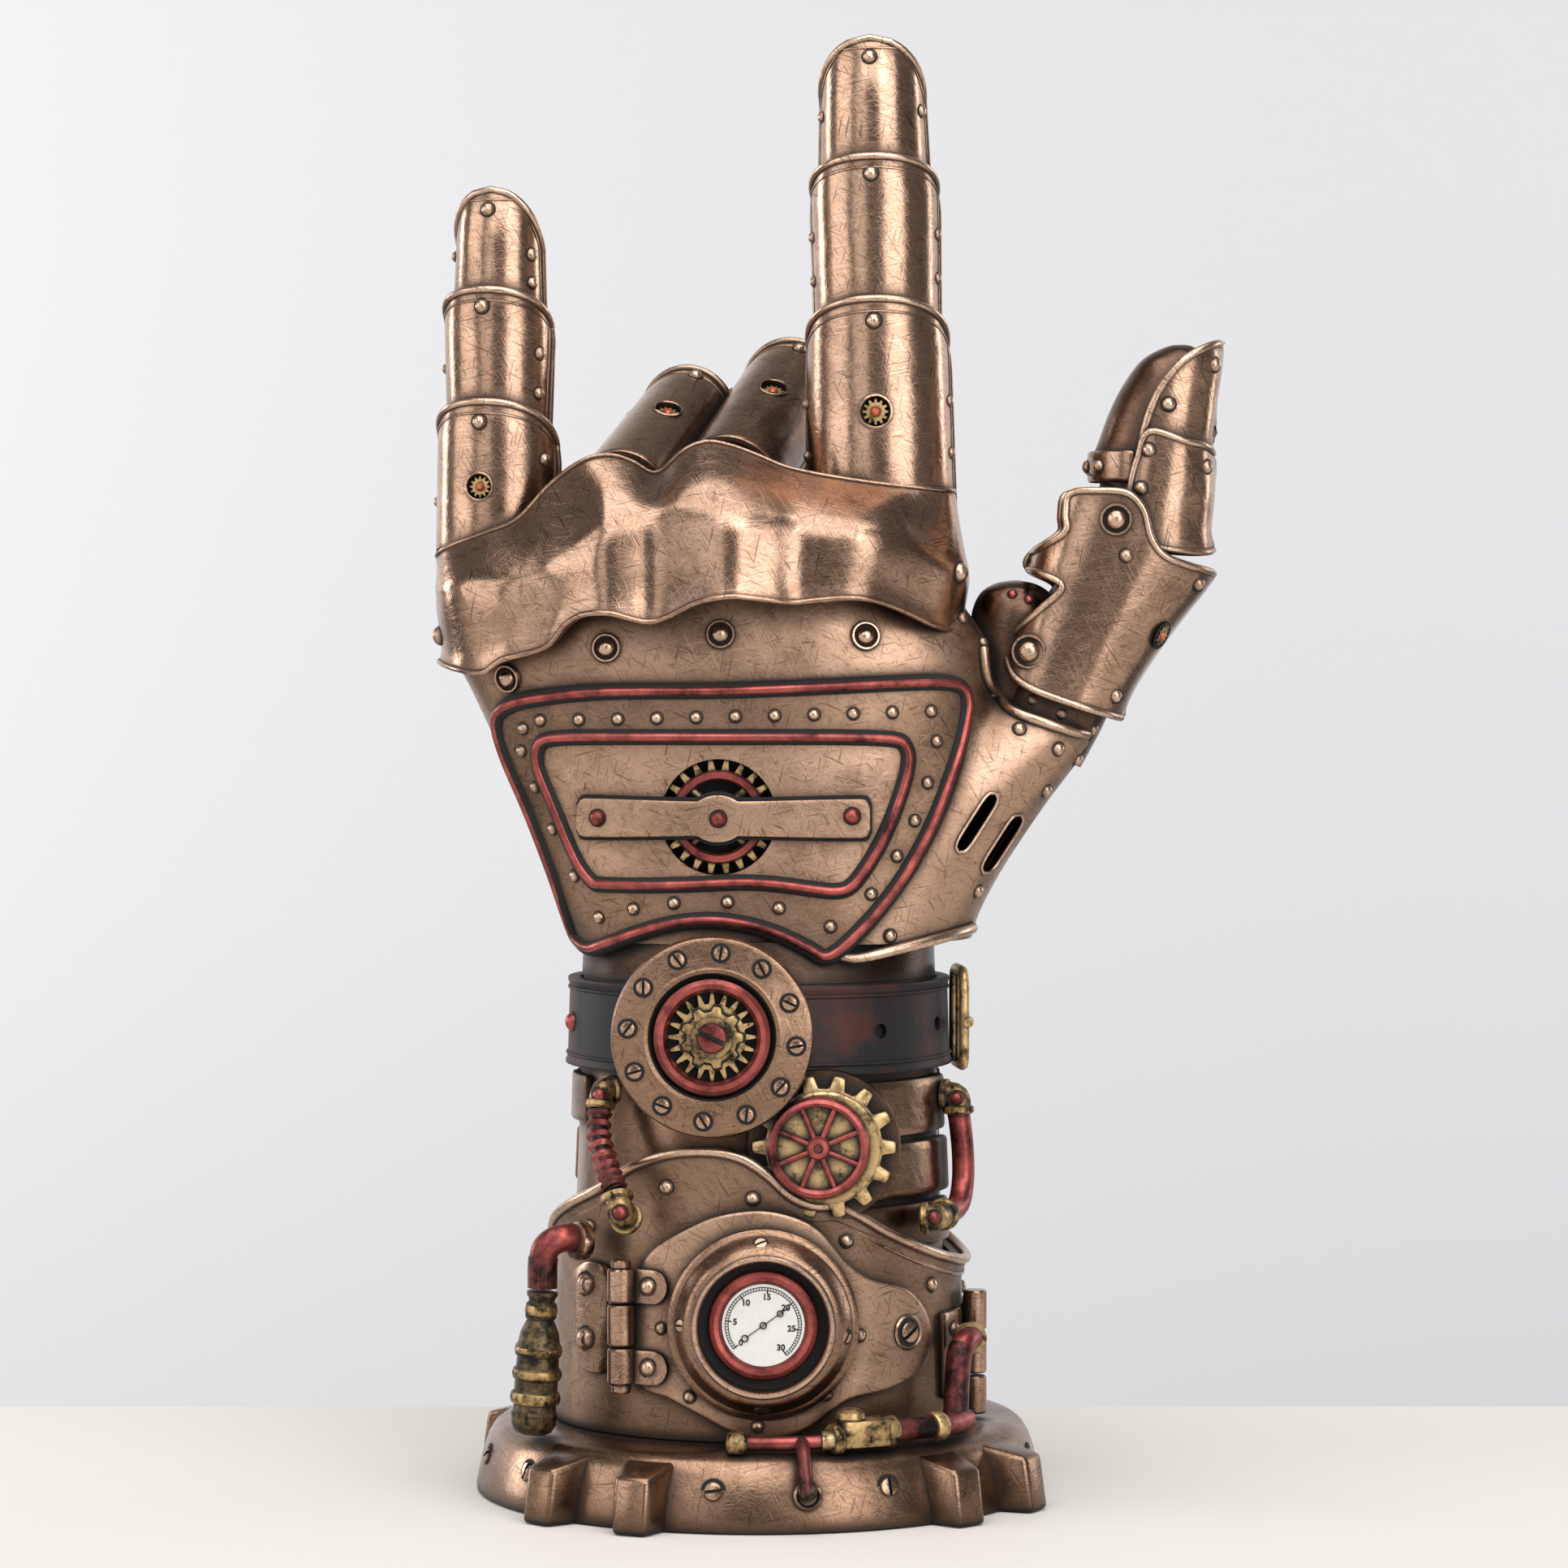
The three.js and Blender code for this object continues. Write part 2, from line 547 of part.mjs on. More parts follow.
// ---------------------------------------------------------------- pipes
function pipes() {
  // Short ribbed hose on the little-finger side, with its two brass elbows.
  const hose = [[-25.6, -22, 65.2], [-25.6, -25.5, 60.5], [-23.9, -30.4, 55.8], [-22.7, -32.6, 53.3]];
  add("ribbed_hose", tube(hose, 2), copperRed);
  const hoseTop = elbow([-23.4, -19.4, 68.3], [-25.4, -21.1, 68.2], [-25.6, -21.5, 66.6], 2.1);
  add("hose_elbow_top", hoseTop, brass);
  const hoseBottom = elbow([-22.2, -33.3, 52.3], [-21.8, -33.8, 49.6], [-20.9, -30.4, 48.4], 2.3);
  add("hose_elbow_bottom", hoseBottom, brass);

  // Plain pipe on the thumb side.
  const side = [[32.9, -9, 62.7], [33.4, -9, 57], [33.4, -9.4, 51.5], [32.5, -12.5, 48], [30.4, -17.6, 47.4]];
  add("side_pipe", tube(side, 2, 14), copperRed);
  const pipeTop = elbow([30.6, -8, 66], [32.9, -8.9, 65.8], [32.9, -9, 63.4], 2.2);
  add("pipe_elbow_top", pipeTop, brass);
  const pipeBottom = elbow([30.1, -18.2, 47.4], [28.6, -21.6, 47.3], [26.6, -21.8, 47.2], 2.3);
  add("pipe_elbow_bottom", pipeBottom, brass);

  // Pressure tank: an elbow out of the cuff and a ribbed brass cylinder that stands on the foot.
  const intoCuff = [[-28.4, -21.8, 43.6], [-31.6, -24.6, 44.2], [-34, -26, 42], [-34.4, -26, 38.4]];
  add("tank_elbow", tube(intoCuff, 2.5, 12), copperRed);
  const tank = [
    [0, 0], [2.6, 0], [3.5, 1.4], [3.7, 3.4], [3.3, 3.6], [3.3, 5], [3.9, 5.4], [3.9, 7], [3.3, 7.4],
    [3.3, 9], [3.8, 9.4], [3.8, 11], [3.2, 11.4], [3.2, 13], [3.7, 13.4], [3.7, 15], [3.3, 15.6],
    [2.8, 18], [2.2, 19.6], [2.3, 20.2], [2.3, 23], [0, 23],
  ];
  const standing = turnedUpright(tank, 0, 0, 0, 12).rotateY(rad(5));
  add("pressure_tank", standing.translate(-36.2, -26, 12.8), brass);

  // Foot piping: a riser beside the side hinge, a run to the valve block, and a branch over the edge.
  const riser = [[36.4, -15.4, 26.2], [34.2, -19.6, 27.2], [32.4, -22.4, 24.6], [32, -24, 15.2]];
  const run = [[34.4, -23, 14.6], [30.2, -29.8, 14.6], [25.6, -33.6, 14.8], [21.8, -36.2, 14.8]];
  add("foot_pipe", geometryOf(join(tube(riser, 2.1, 12), tube(run, 1.7))), copperRed);
  const valve = solid(block(8.6, 4.8, 4.8, 0, 0, 0)).add(
    solid(turnedUpright([[0, 2], [2.1, 2], [2.1, 3], [1.2, 3.8], [0, 3.8]], -2.2, 0, 0, 12)),
  );
  const valvePlace = geometryOf(valve).rotateZ(rad(24));
  add("valve_block", valvePlace.translate(16.6, -38.3, 15), brass);
  const branch = tube([[12.1, -39.8, 13.6], [6, -41, 13.5], [-1.2, -41.2, 13.5]], 1.1, 8);
  const drop = tube([[6.9, -41, 13.6], [7.2, -45.4, 12.4], [7.4, -48.3, 9.4], [7.5, -49, 5.4]], 1.2, 10);
  add("foot_branch", geometryOf(join(branch, drop)), copperRed);
}

// ---------------------------------------------------------------- hand
// The back plate's outline: wide over the knuckles, narrow at the wrist, with an arched lower edge.
function backOutline(inset = 0) {
  const k = inset;
  const shape = new THREE.Shape();
  shape.moveTo(-26 + k, 90.4 + 1.3 * k);
  shape.quadraticCurveTo(-8, 100.6 + 1.1 * k, 11.4 - 0.2 * k, 89.6 + 1.6 * k);
  shape.quadraticCurveTo(27 - k, 101.5, 31.6 - k, 121);
  shape.quadraticCurveTo(34.2 - k, 133.6 - k, 29 - k, 133.8 - k);
  shape.quadraticCurveTo(-8, 132.4 - k, -35 + k, 131.2 - k);
  shape.quadraticCurveTo(-43 + k, 130 - k, -41.6 + k, 125);
  shape.quadraticCurveTo(-35 + k, 108, -30 + k, 94.5 + k);
  shape.quadraticCurveTo(-28.6 + k, 90 + k, -26 + k, 90.4 + 1.3 * k);
  return shape;
}

function innerOutline() {
  const shape = new THREE.Shape();
  shape.moveTo(-26.4, 101.6);
  shape.quadraticCurveTo(-8, 102.2, 10, 100.3);
  shape.quadraticCurveTo(14.6, 99.8, 17.4, 104.4);
  shape.quadraticCurveTo(22.6, 113.5, 24, 120.6);
  shape.quadraticCurveTo(24.4, 125, 19, 125);
  shape.lineTo(-30, 125);
  shape.quadraticCurveTo(-36.4, 125, -35.2, 120.4);
  shape.quadraticCurveTo(-33, 114, -29, 105);
  shape.quadraticCurveTo(-28, 101.8, -26.4, 101.6);
  return shape;
}

// A band that follows an outline, half its width to each side.
function band(shape, width, divisions) {
  const points = shape.getPoints(divisions);
  if (points[0].distanceTo(points.at(-1)) < 1e-6) points.pop();
  const move = (distance) =>
    points.map((p, i) => {
      const before = points[(i + points.length - 1) % points.length];
      const after = points[(i + 1) % points.length];
      const along = after.clone().sub(before).normalize();
      return p.clone().add(new THREE.Vector2(along.y, -along.x).multiplyScalar(distance));
    });
  const outside = new THREE.Shape(move(width / 2));
  outside.holes.push(new THREE.Path(move(-width / 2)));
  return outside;
}

const plateThickness = 1.3;
const pipingHeight = 1.5;

function backOfHand() {
  const disc = (r) => new THREE.Shape().absarc(0, 0, r, 0, 2 * Math.PI);
  const windowPlace = [windowCentre.x, 0, windowCentre.z];
  const window = solid(throughY(disc(windowCentre.radius), -60, -5)).translate(windowPlace);
  const low = { ...handSections[0], z: 84 };
  const surface = (grow) =>
    solid(loft([low, ...handSections].map((s) => handRing(s, grow, 28))))
      .add(thenar(grow))
      .add(solid(loft([low, handSections[0]].map((s) => handRing(s, grow, 28)))));

  // Shell: outside, hollow inside, and open at the wrist.
  const hollowHand = handSections.map((s, i) => ({ ...s, z: i === 0 ? 80 : s.z - (i > 6 ? wall : 0) }));
  const hollow = solid(loft(hollowHand.map((s) => handRing(s, -wall, 28)))).add(thenar(-wall));
  const slot = (x, z) => {
    const cut = throughY(rounded(-1.1, -5.4, 1.1, 5.4, 1.05), -30, -3);
    return solid(cut.rotateY(rad(35)).translate(x, 0, z));
  };
  const slots = slot(36.2, 110.8).add(slot(41, 107.2));
  const shell = handBody(0).subtract(hollow).subtract(window).subtract(slots);
  add("hand_shell", geometryOf(biggest(shell)), bronze);

  const seat = surface(gap);
  const skin = surface(gap + plateThickness);
  const backPlate = patch(skin, seat, backOutline(), -40, 0).subtract(window);
  add("back_plate", geometryOf(backPlate.subtract(armSolid(gap, 60, 92))), bronze);
  const pipingSeat = surface(2 * gap + plateThickness);
  const pipingSkin = surface(2 * gap + plateThickness + pipingHeight);
  const piping = (outline) => geometryOf(patch(pipingSkin, pipingSeat, band(outline, 1.6, 4), -40, 0));
  add("outer_piping", piping(backOutline(0.9)), copperRed);
  add("inner_piping", piping(innerOutline()), copperRed);

  const gearFace = -20.6;
  const gearOutline = toothedOutline(20, 6.6, 8.5, 0.66, 0.34);
  gearOutline.holes.push(roundHole(4.6));
  const gear = throughY(gearOutline, gearFace, gearFace + 1.4);
  const hub = throughY(disc(2), gearFace - 1.6, gearFace + 1.4, 6);
  const spokes = block(10.4, 1.2, 1.2, 0, gearFace + 0.7, 0);
  const windowGear = join(gear, hub, spokes, spokes.clone().rotateY(Math.PI / 2));
  add("window_gear", geometryOf(windowGear.translate(windowPlace)), brass);

  const bar = join(throughY(rounded(-22.4, -3.1, 23.4, 3.1, 2.6), -40, 0), throughY(disc(4), -40, 0));
  const barSkin = pipingSkin.subtract(pipingSeat);
  add("window_bar", geometryOf(barSkin.intersect(bar.translate(windowPlace))), bronze);

  const palm = throughY(rounded(-36, 98, 22, 136, 10), 0, 40);
  add("palm_plate", geometryOf(skin.subtract(seat).intersect(solid(palm))), bronze);
}

// The knuckle guard wraps the front of the hand from side to side; four swells stand over the knuckles.
const knuckles = [-45, -24, -5, 18];
const guardThickness = 1.6;
function knuckleGuard() {
  const { lerp, smoothstep, clamp } = THREE.MathUtils;
  const swell = (x) => Math.max(...knuckles.map((k) => Math.exp(-(((x - k) / 8.5) ** 2))));
  const lowEdge = (x) =>
    137.5 + 7.2 * smoothstep(x, -46, -22) + 2.4 * swell(x) - 4 * smoothstep(x, 18, 34);
  const topEdge = (x) =>
    156.5 + 13.5 * smoothstep(x, -50, -22) + 1.6 * swell(x) - 5.5 * smoothstep(x, -4, 14);
  const point = (u, v) => {
    const angle = lerp(-104, 100, u);
    const side = Math.sin(rad(angle));
    const x = -9.2 + 43 * Math.sign(side) * Math.pow(Math.abs(side), 0.8);
    const bulge = Math.sin(Math.PI * Math.pow(clamp(v / 1.12, 0, 1), 1.15));
    const depth = lerp(24.4, 16.4, smoothstep(v, 0.62, 1)) + 3 * (1 + swell(x)) * bulge;
    const half = 44.4 - 1.8 * smoothstep(v, 0.4, 1);
    const [dx, y] = onOval(angle, half, depth, 2.5);
    return v3(-9.2 + dx, y, lerp(lowEdge(x), topEdge(x), v));
  };
  const guard = biggest(solid(plate(point, 28, 7, guardThickness)).subtract(handBody(gap)));
  add("knuckle_guard", geometryOf(guard), bronze);
  return solid(plate(point, 28, 7, guardThickness + gap));
}

// ---------------------------------------------------------------- fingers
// A frame whose Z runs along the finger bone and whose -Y is the back of the finger.
function boneFrame(from, to, turn = 0) {
  const group = new THREE.Group();
  group.position.set(...from);
  const axis = v3(...to).sub(v3(...from)).normalize();
  group.quaternion.setFromUnitVectors(v3(0, 0, 1), axis);
  group.quaternion.multiply(new THREE.Quaternion().setFromAxisAngle(v3(0, 0, 1), rad(turn)));
  gauntlet.add(group);
  return group;
}

const fingerDepth = 0.94; // a finger is a little flatter than round

// A finger plate over the back of one bone: its top edge is an arch, and its sides run to the palm side.
function fingerPlate({ length, low, high, wrap = 98, arch = 8 }) {
  const point = (u, v) => {
    const angle = wrap * (2 * u - 1);
    const z = v * (length - arch * Math.pow(Math.abs(angle / wrap), 3));
    const r = THREE.MathUtils.lerp(low, high, THREE.MathUtils.clamp(z / length, 0, 1));
    return v3(...onOval(angle, r, r * fingerDepth), z);
  };
  return plate(point, 12, 3, 1);
}

// A fingertip plate: the back half of a blunt dome.
function tipPlate({ length, low, wrap = 96, blunt = 0.45 }) {
  const point = (u, v) => {
    const angle = wrap * (2 * u - 1);
    const round = THREE.MathUtils.clamp((v - blunt) / (1 - blunt), 0, 1);
    const r = low * (1 - 0.05 * v) * Math.sqrt(1 - 0.97 * round * round);
    const rise = 0.35 * Math.sin(0.5 * Math.PI * Math.min(1, v * 1.02)) + 0.65 * v;
    return v3(...onOval(angle, r, r * fingerDepth), length * rise);
  };
  return plate(point, 12, 6, 1);
}

// The finger inside the plates. Its back half is small enough to leave the plates clear.
function fingerCore(stations, shift = 1.2, count = 14) {
  const rings = stations.map(([z, r]) =>
    ringAngles(count).map((angle) => {
      const [x, y] = onOval(angle, r, r * fingerDepth);
      return v3(x, y > 0 ? y + shift : y, z);
    }),
  );
  return loft(rings);
}

function raisedFinger(name, { root, tip, turn, bones }) {
  const total = v3(...tip).distanceTo(v3(...root));
  const frame = boneFrame(root, tip, turn);
  const [one, two, three] = bones;
  const clear = 1 + gap;
  add(`${name}_plate_1`, fingerPlate({ length: one.length, low: one.low, high: one.high }), bronze, frame);
  const middle = new THREE.Group();
  middle.position.z = one.length - one.overlap;
  frame.add(middle);
  add(`${name}_plate_2`, fingerPlate({ length: two.length, low: two.low, high: two.high }), bronze, middle);
  const end = new THREE.Group();
  end.position.z = one.length - one.overlap + two.length - two.overlap;
  frame.add(end);
  const tipLength = total - end.position.z;
  add(`${name}_plate_3`, tipPlate({ length: tipLength, low: three.low }), bronze, end);
  const r = three.low - clear;
  const stations = [
    [0.2, one.low - clear - 0.6],
    [one.length * 0.8, one.high - clear - 1.4],
    [end.position.z * 0.98, r - 0.2],
    [end.position.z + tipLength * 0.45, r * 0.9],
    [end.position.z + tipLength * 0.68, r * 0.72],
    [total - 2.6, r * 0.3],
  ];
  add(`${name}_core`, fingerCore(stations), darkBronze, frame);
}

// A finger curled into the palm: three bones, each with its plate over a core.
function curledFinger(name, joints, radii, keepOut) {
  const placed = (i, grow) => {
    const frame = boneFrame(joints[i], joints[i + 1], 0);
    const length = v3(...joints[i + 1]).distanceTo(v3(...joints[i]));
    const r = radii[i] + grow;
    const to = i === 0 ? length + 2 : length;
    const stations = i === 2
      ? [[-grow, r - 0.4], [length * 0.75, r * 0.92], [to, r * 0.5]]
      : [[-grow, r - 0.4], [length / 2, r + 0.2], [to + grow, r - 0.6]];
    const geometry = fingerCore(stations, 0, 16);
    frame.updateMatrixWorld(true);
    return solid(geometry.applyMatrix4(frame.matrixWorld));
  };
  for (const i of [0, 1, 2]) {
    let bone = placed(i, 0);
    if (i > 0) bone = bone.subtract(placed(i - 1, gap));
    if (i === 0) bone = bone.subtract(handBody(gap)).subtract(keepOut);
    add(`${name}_segment_${i + 1}`, geometryOf(biggest(bone)), bronze);
  }
}

function fingers(guardSpace) {
  raisedFinger("index", {
    root: [20.2, -0.6, 165.2],
    tip: [18.6, 0.6, 239.4],
    turn: -4,
    bones: [
      { length: 31.2, low: 11.9, high: 11.4, overlap: 5.2 },
      { length: 28.4, low: 10, high: 10.1, overlap: 5 },
      { low: 8.7 },
    ],
  });
  raisedFinger("little", {
    root: [-43.2, -0.6, 158.8],
    tip: [-42.8, 0.8, 214.6],
    turn: -16,
    bones: [
      { length: 21, low: 10, high: 9.6, overlap: 4.6 },
      { length: 23, low: 8.2, high: 8.6, overlap: 4.6 },
      { low: 7.2 },
    ],
  });
  const middle = [[-3.6, 3, 168.4], [4.6, 25, 181.6], [5, 33.4, 160], [4.6, 29.6, 142]];
  const ring = [[-21.4, 3, 166], [-13.2, 25, 177.4], [-13, 33, 157], [-13.2, 29.2, 139]];
  curledFinger("middle", middle, [8.4, 8.2, 7.8], guardSpace);
  curledFinger("ring", ring, [8, 7.8, 7.4], guardSpace);
}

// ---------------------------------------------------------------- thumb
function thumb() {
  const joints = [[49.4, 0, 131.2], [62, 0, 155.5], [65.4, 0, 171], [70.5, 0, 190.5]];
  const back = 66; // the thumb's back faces the side and a little forward
  const ring = (z, r, count) => ringAngles(count).map((angle) => v3(...onOval(angle, r, r), z));
  const collar = boneFrame([48.6, 0, 128.9], joints[1], back);
  add("thumb_collar", loft([ring(0.6, 8.4, 20), ring(5.6, 8, 20)]), darkBronze, collar);
  const base = boneFrame(joints[0], joints[1], back);
  const sleeve = [ring(1.5, 11.4, 24), ring(24, 11.6, 24), ring(24, 10, 24), ring(1.5, 9.8, 24)];
  add("thumb_plate_1", loft(sleeve, true), bronze, base);
  add("thumb_core_1", fingerCore([[4.2, 7.4], [26, 8]], 0, 16), darkBronze, base);
  const mid = boneFrame(joints[1], joints[2], back);
  add("thumb_plate_2", fingerPlate({ length: 16.6, low: 10.6, high: 10.4, arch: 3, wrap: 110 }), bronze, mid);
  add("thumb_core_2", fingerCore([[2.6, 8.2], [15.2, 8.2]], 0, 16), darkBronze, mid);
  const end = boneFrame(joints[2], joints[3], back);
  add("thumb_plate_3", tipPlate({ length: 19.4, low: 9.1, blunt: 0.35 }), bronze, end);
  add("thumb_core_3", fingerCore([[0.6, 7.6], [8, 7.2], [13.5, 5.2], [17, 2.4]], 1.4, 16), darkBronze, end);
}

cogFoot();
armTube();
door();
sideHinge();
wheels();
strapAndMedallion();
pipes();
backOfHand();
fingers(knuckleGuard());
thumb();

export default gauntlet;
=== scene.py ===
# Armoured gauntlet on a cog foot: cold-cast bronze with copper-red and brass rubbed details.
# Everything is shaped in millimetres and brought to metres when a piece is finished.
import math

import bpy
from mathutils import Matrix, Vector
from mathutils.bvhtree import BVHTree


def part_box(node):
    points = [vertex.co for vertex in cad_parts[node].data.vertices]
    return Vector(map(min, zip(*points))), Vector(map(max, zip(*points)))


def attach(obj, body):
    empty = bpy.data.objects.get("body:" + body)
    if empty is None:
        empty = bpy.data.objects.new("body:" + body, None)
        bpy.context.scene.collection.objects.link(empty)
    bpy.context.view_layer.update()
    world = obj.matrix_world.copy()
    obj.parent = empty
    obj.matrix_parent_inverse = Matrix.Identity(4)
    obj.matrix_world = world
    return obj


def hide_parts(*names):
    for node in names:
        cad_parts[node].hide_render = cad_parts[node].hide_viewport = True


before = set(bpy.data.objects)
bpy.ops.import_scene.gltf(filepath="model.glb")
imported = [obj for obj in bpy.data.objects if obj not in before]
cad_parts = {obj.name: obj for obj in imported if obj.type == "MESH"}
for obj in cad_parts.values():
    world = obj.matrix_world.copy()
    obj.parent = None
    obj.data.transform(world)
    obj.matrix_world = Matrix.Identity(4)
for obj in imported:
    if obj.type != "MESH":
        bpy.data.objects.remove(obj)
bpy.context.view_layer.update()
mm = 0.001
up = Vector((0, 0, 1))
towardsViewer = Vector((0, -1, 0))  # the back of the hand faces this way
print("frame loaded")


def cornersOf(node):
    low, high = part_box(node)
    return Vector(low) / mm, Vector(high) / mm


def middleOf(node):
    low, high = cornersOf(node)
    return (low + high) / 2


def mix(a, b, share):
    return a + (b - a) * share


def ramp(value, low, high):
    share = min(1, max(0, (value - low) / (high - low)))
    return share * share * (3 - 2 * share)


def smoothPath(points, steps=6, closed=False):
    # a smooth path that passes through every point
    points = [Vector(p) for p in points]
    count = len(points)
    path = []
    for i in range(count if closed else count - 1):
        if closed:
            a, b, c, d = (points[(i + k) % count] for k in (-1, 0, 1, 2))
        else:
            a, b, c, d = (points[min(count - 1, max(0, i + k))] for k in (-1, 0, 1, 2))
        for step in range(steps):
            t = step / steps
            path.append(
                0.5 * (2 * b + (c - a) * t + (2 * a - 5 * b + 4 * c - d) * t * t + (3 * b - a - 3 * c + d) * t ** 3)
            )
    if not closed:
        path.append(points[-1])
    return path


def smoothOutline(points, steps=5):
    # a closed smooth path through points seen from the front
    return smoothPath([(x, z, 0) for x, z in points], steps, closed=True)


def turnIn(count):
    # a full turn in equal steps
    return [math.tau * i / count for i in range(count)]


def along(path, share, closed=False):
    # the point at a share of the way along a dense path
    last = len(path) if closed else len(path) - 1
    place = min(share, 1) * last
    index = min(int(place), last - 1)
    return path[index].lerp(path[(index + 1) % len(path)], place - index)


def keyed(keys, value):
    # smooth value between (place, value) keys
    if value <= keys[0][0]:
        return keys[0][1]
    for i in range(len(keys) - 1):
        (x0, y0), (x1, y1) = keys[i], keys[i + 1]
        if value <= x1:
            before = keys[max(0, i - 1)]
            after = keys[min(len(keys) - 1, i + 2)]
            slope0 = (y1 - before[1]) / (x1 - before[0])
            slope1 = (after[1] - y0) / (after[0] - x0)
            t = (value - x0) / (x1 - x0)
            span = x1 - x0
            return (
                (2 * t ** 3 - 3 * t * t + 1) * y0
                + (t ** 3 - 2 * t * t + t) * span * slope0
                + (3 * t * t - 2 * t ** 3) * y1
                + (t ** 3 - t * t) * span * slope1
            )
    return keys[-1][1]


def selectOnly(*pieces):
    bpy.ops.object.select_all(action="DESELECT")
    for piece in pieces:
        piece.select_set(True)
    bpy.context.view_layer.objects.active = pieces[0]


def added(operator, **settings):
    bpy.ops.object.select_all(action="DESELECT")
    operator(**settings)
    return bpy.context.object


def joined(name, parts):
    parts = [part for part in parts if part]
    selectOnly(*parts)
    if len(parts) > 1:
        bpy.ops.object.join()
    whole = bpy.context.object
    whole.name = whole.data.name = name
    return whole


def applyModifier(piece, kind, **settings):
    modifier = piece.modifiers.new(kind.title(), kind)
    for name, value in settings.items():
        setattr(modifier, name, value)
    selectOnly(piece)
    bpy.ops.object.modifier_apply(modifier=modifier.name)


def editAll(piece, *steps):
    # runs edit-mode steps on the whole piece
    selectOnly(piece)
    bpy.ops.object.mode_set(mode="EDIT")
    bpy.ops.mesh.select_all(action="SELECT")
    for step in steps:
        step()
    bpy.ops.object.mode_set(mode="OBJECT")


def weld():
    bpy.ops.mesh.remove_doubles(threshold=0.002)


def closeEnds():
    bpy.ops.mesh.fill_holes(sides=0)


def faceOut():
    bpy.ops.mesh.normals_make_consistent(inside=False)


def faceAlong(piece, direction):
    # turns an open skin's faces so that most look along a direction
    if sum(face.area * face.normal.dot(direction) for face in piece.data.polygons) < 0:
        editAll(piece, bpy.ops.mesh.flip_normals)


def smooth(piece, degrees=38):
    selectOnly(piece)
    bpy.ops.object.shade_smooth_by_angle(angle=math.radians(degrees))
    return piece


def placed(piece):
    # puts an object's place into its mesh
    piece.data.transform(piece.matrix_basis)
    piece.matrix_basis = Matrix.Identity(4)
    return piece


def shapedGrid(name, columns, rows, place, closed=False, outward=False):
    # a grid laid out in u and v from 0 to 1, each vertex moved to place(u, v)
    piece = added(bpy.ops.mesh.primitive_grid_add, x_subdivisions=columns, y_subdivisions=rows, size=1)
    piece.name = piece.data.name = name
    for vertex in piece.data.vertices:
        u = min(1, max(0, vertex.co.x + 0.5))
        v = min(1, max(0, vertex.co.y + 0.5))
        vertex.co = place(u, v)
    if closed:
        editAll(piece, weld)
    if outward:
        editAll(piece, faceOut)
    return piece


def wall(piece, thickness, edge=0.3, offset=-1):
    # gives a skin its thickness, inwards, and softens its edges
    applyModifier(piece, "SOLIDIFY", thickness=thickness, offset=offset)
    if edge:
        applyModifier(piece, "BEVEL", width=edge, segments=2, limit_method="ANGLE", angle_limit=math.radians(50))
    return smooth(piece)


def rod(points, radius, closed=False, sides=3, radii=None):
    # a round bar along a path, with a radius factor for each point if given
    curve = bpy.data.curves.new("rod", "CURVE")
    curve.dimensions = "3D"
    curve.bevel_depth = radius
    curve.bevel_resolution = sides
    curve.use_fill_caps = True
    spline = curve.splines.new("POLY")
    spline.points.add(len(points) - 1)
    for i, point in enumerate(points):
        spline.points[i].co = (*point, 1)
        if radii:
            spline.points[i].radius = radii[i]
    spline.use_cyclic_u = closed
    piece = bpy.data.objects.new("rod", curve)
    bpy.context.collection.objects.link(piece)
    selectOnly(piece)
    bpy.ops.object.convert(target="MESH")
    return smooth(bpy.context.object, 60)


def turned(profile, centre=(0, 0, 0), axis=towardsViewer, columns=48):
    # a turned piece: profile points are (radius, height along the axis)
    turn = Vector(axis).to_track_quat("Z", "Y").to_matrix()
    last = len(profile) - 1

    def place(u, v):
        radius, height = profile[round(v * last)]
        angle = 2 * math.pi * u
        return Vector(centre) + turn @ Vector((radius * math.cos(angle), radius * math.sin(angle), height))

    return smooth(shapedGrid("turned", columns, last, place, closed=True, outward=True), 32)


def gearWheel(teeth, root, tip, hole, thickness, centre, edge=0.15, axis=towardsViewer, crest=0.17):
    # a toothed disc with a round hole; six columns to a tooth, crest is half a tooth's width at its tip
    shares = [(-crest, tip), (0, tip), (crest, tip), (0.3, root), (0.5, root), (0.7, root)]
    turn = Vector(axis).to_track_quat("Z", "Y").to_matrix()
    columns = teeth * len(shares)

    def place(u, v):
        tooth, part = divmod(round(u * columns), len(shares))
        share, outer = shares[part]
        angle = 2 * math.pi * (tooth + share) / teeth
        radius = mix(hole, outer, v)
        return Vector(centre) + turn @ Vector((radius * math.cos(angle), radius * math.sin(angle), 0))

    piece = shapedGrid("gear", columns, 2, place, closed=True)
    faceAlong(piece, axis)
    return wall(piece, thickness, edge)


def block(size, centre, turnAngle=0, turnAxis="Y", edge=0.3, segments=2):
    piece = added(bpy.ops.mesh.primitive_cube_add, size=1, location=centre)
    piece.scale = size
    if turnAngle:
        piece.rotation_euler["XYZ".index(turnAxis)] = math.radians(turnAngle)
    placed(piece)
    applyModifier(piece, "BEVEL", width=edge, segments=segments)
    return smooth(piece)


def cutAway(piece, cutter):
    applyModifier(piece, "BOOLEAN", operation="DIFFERENCE", object=cutter, solver="EXACT")
    bpy.data.objects.remove(cutter)
    return smooth(piece)


def cylinder(radius, depth, centre, axis=towardsViewer, columns=40):
    settings = {"vertices": columns, "radius": radius, "depth": depth, "location": centre}
    piece = added(bpy.ops.mesh.primitive_cylinder_add, **settings)
    piece.rotation_mode = "QUATERNION"
    piece.rotation_quaternion = Vector(axis).to_track_quat("Z", "Y")
    return placed(piece)


def linear(hexColour):
    channels = [int(hexColour[i : i + 2], 16) / 255 for i in (1, 3, 5)]
    return [c / 12.92 if c <= 0.04045 else ((c + 0.055) / 1.055) ** 2.4 for c in channels] + [1]


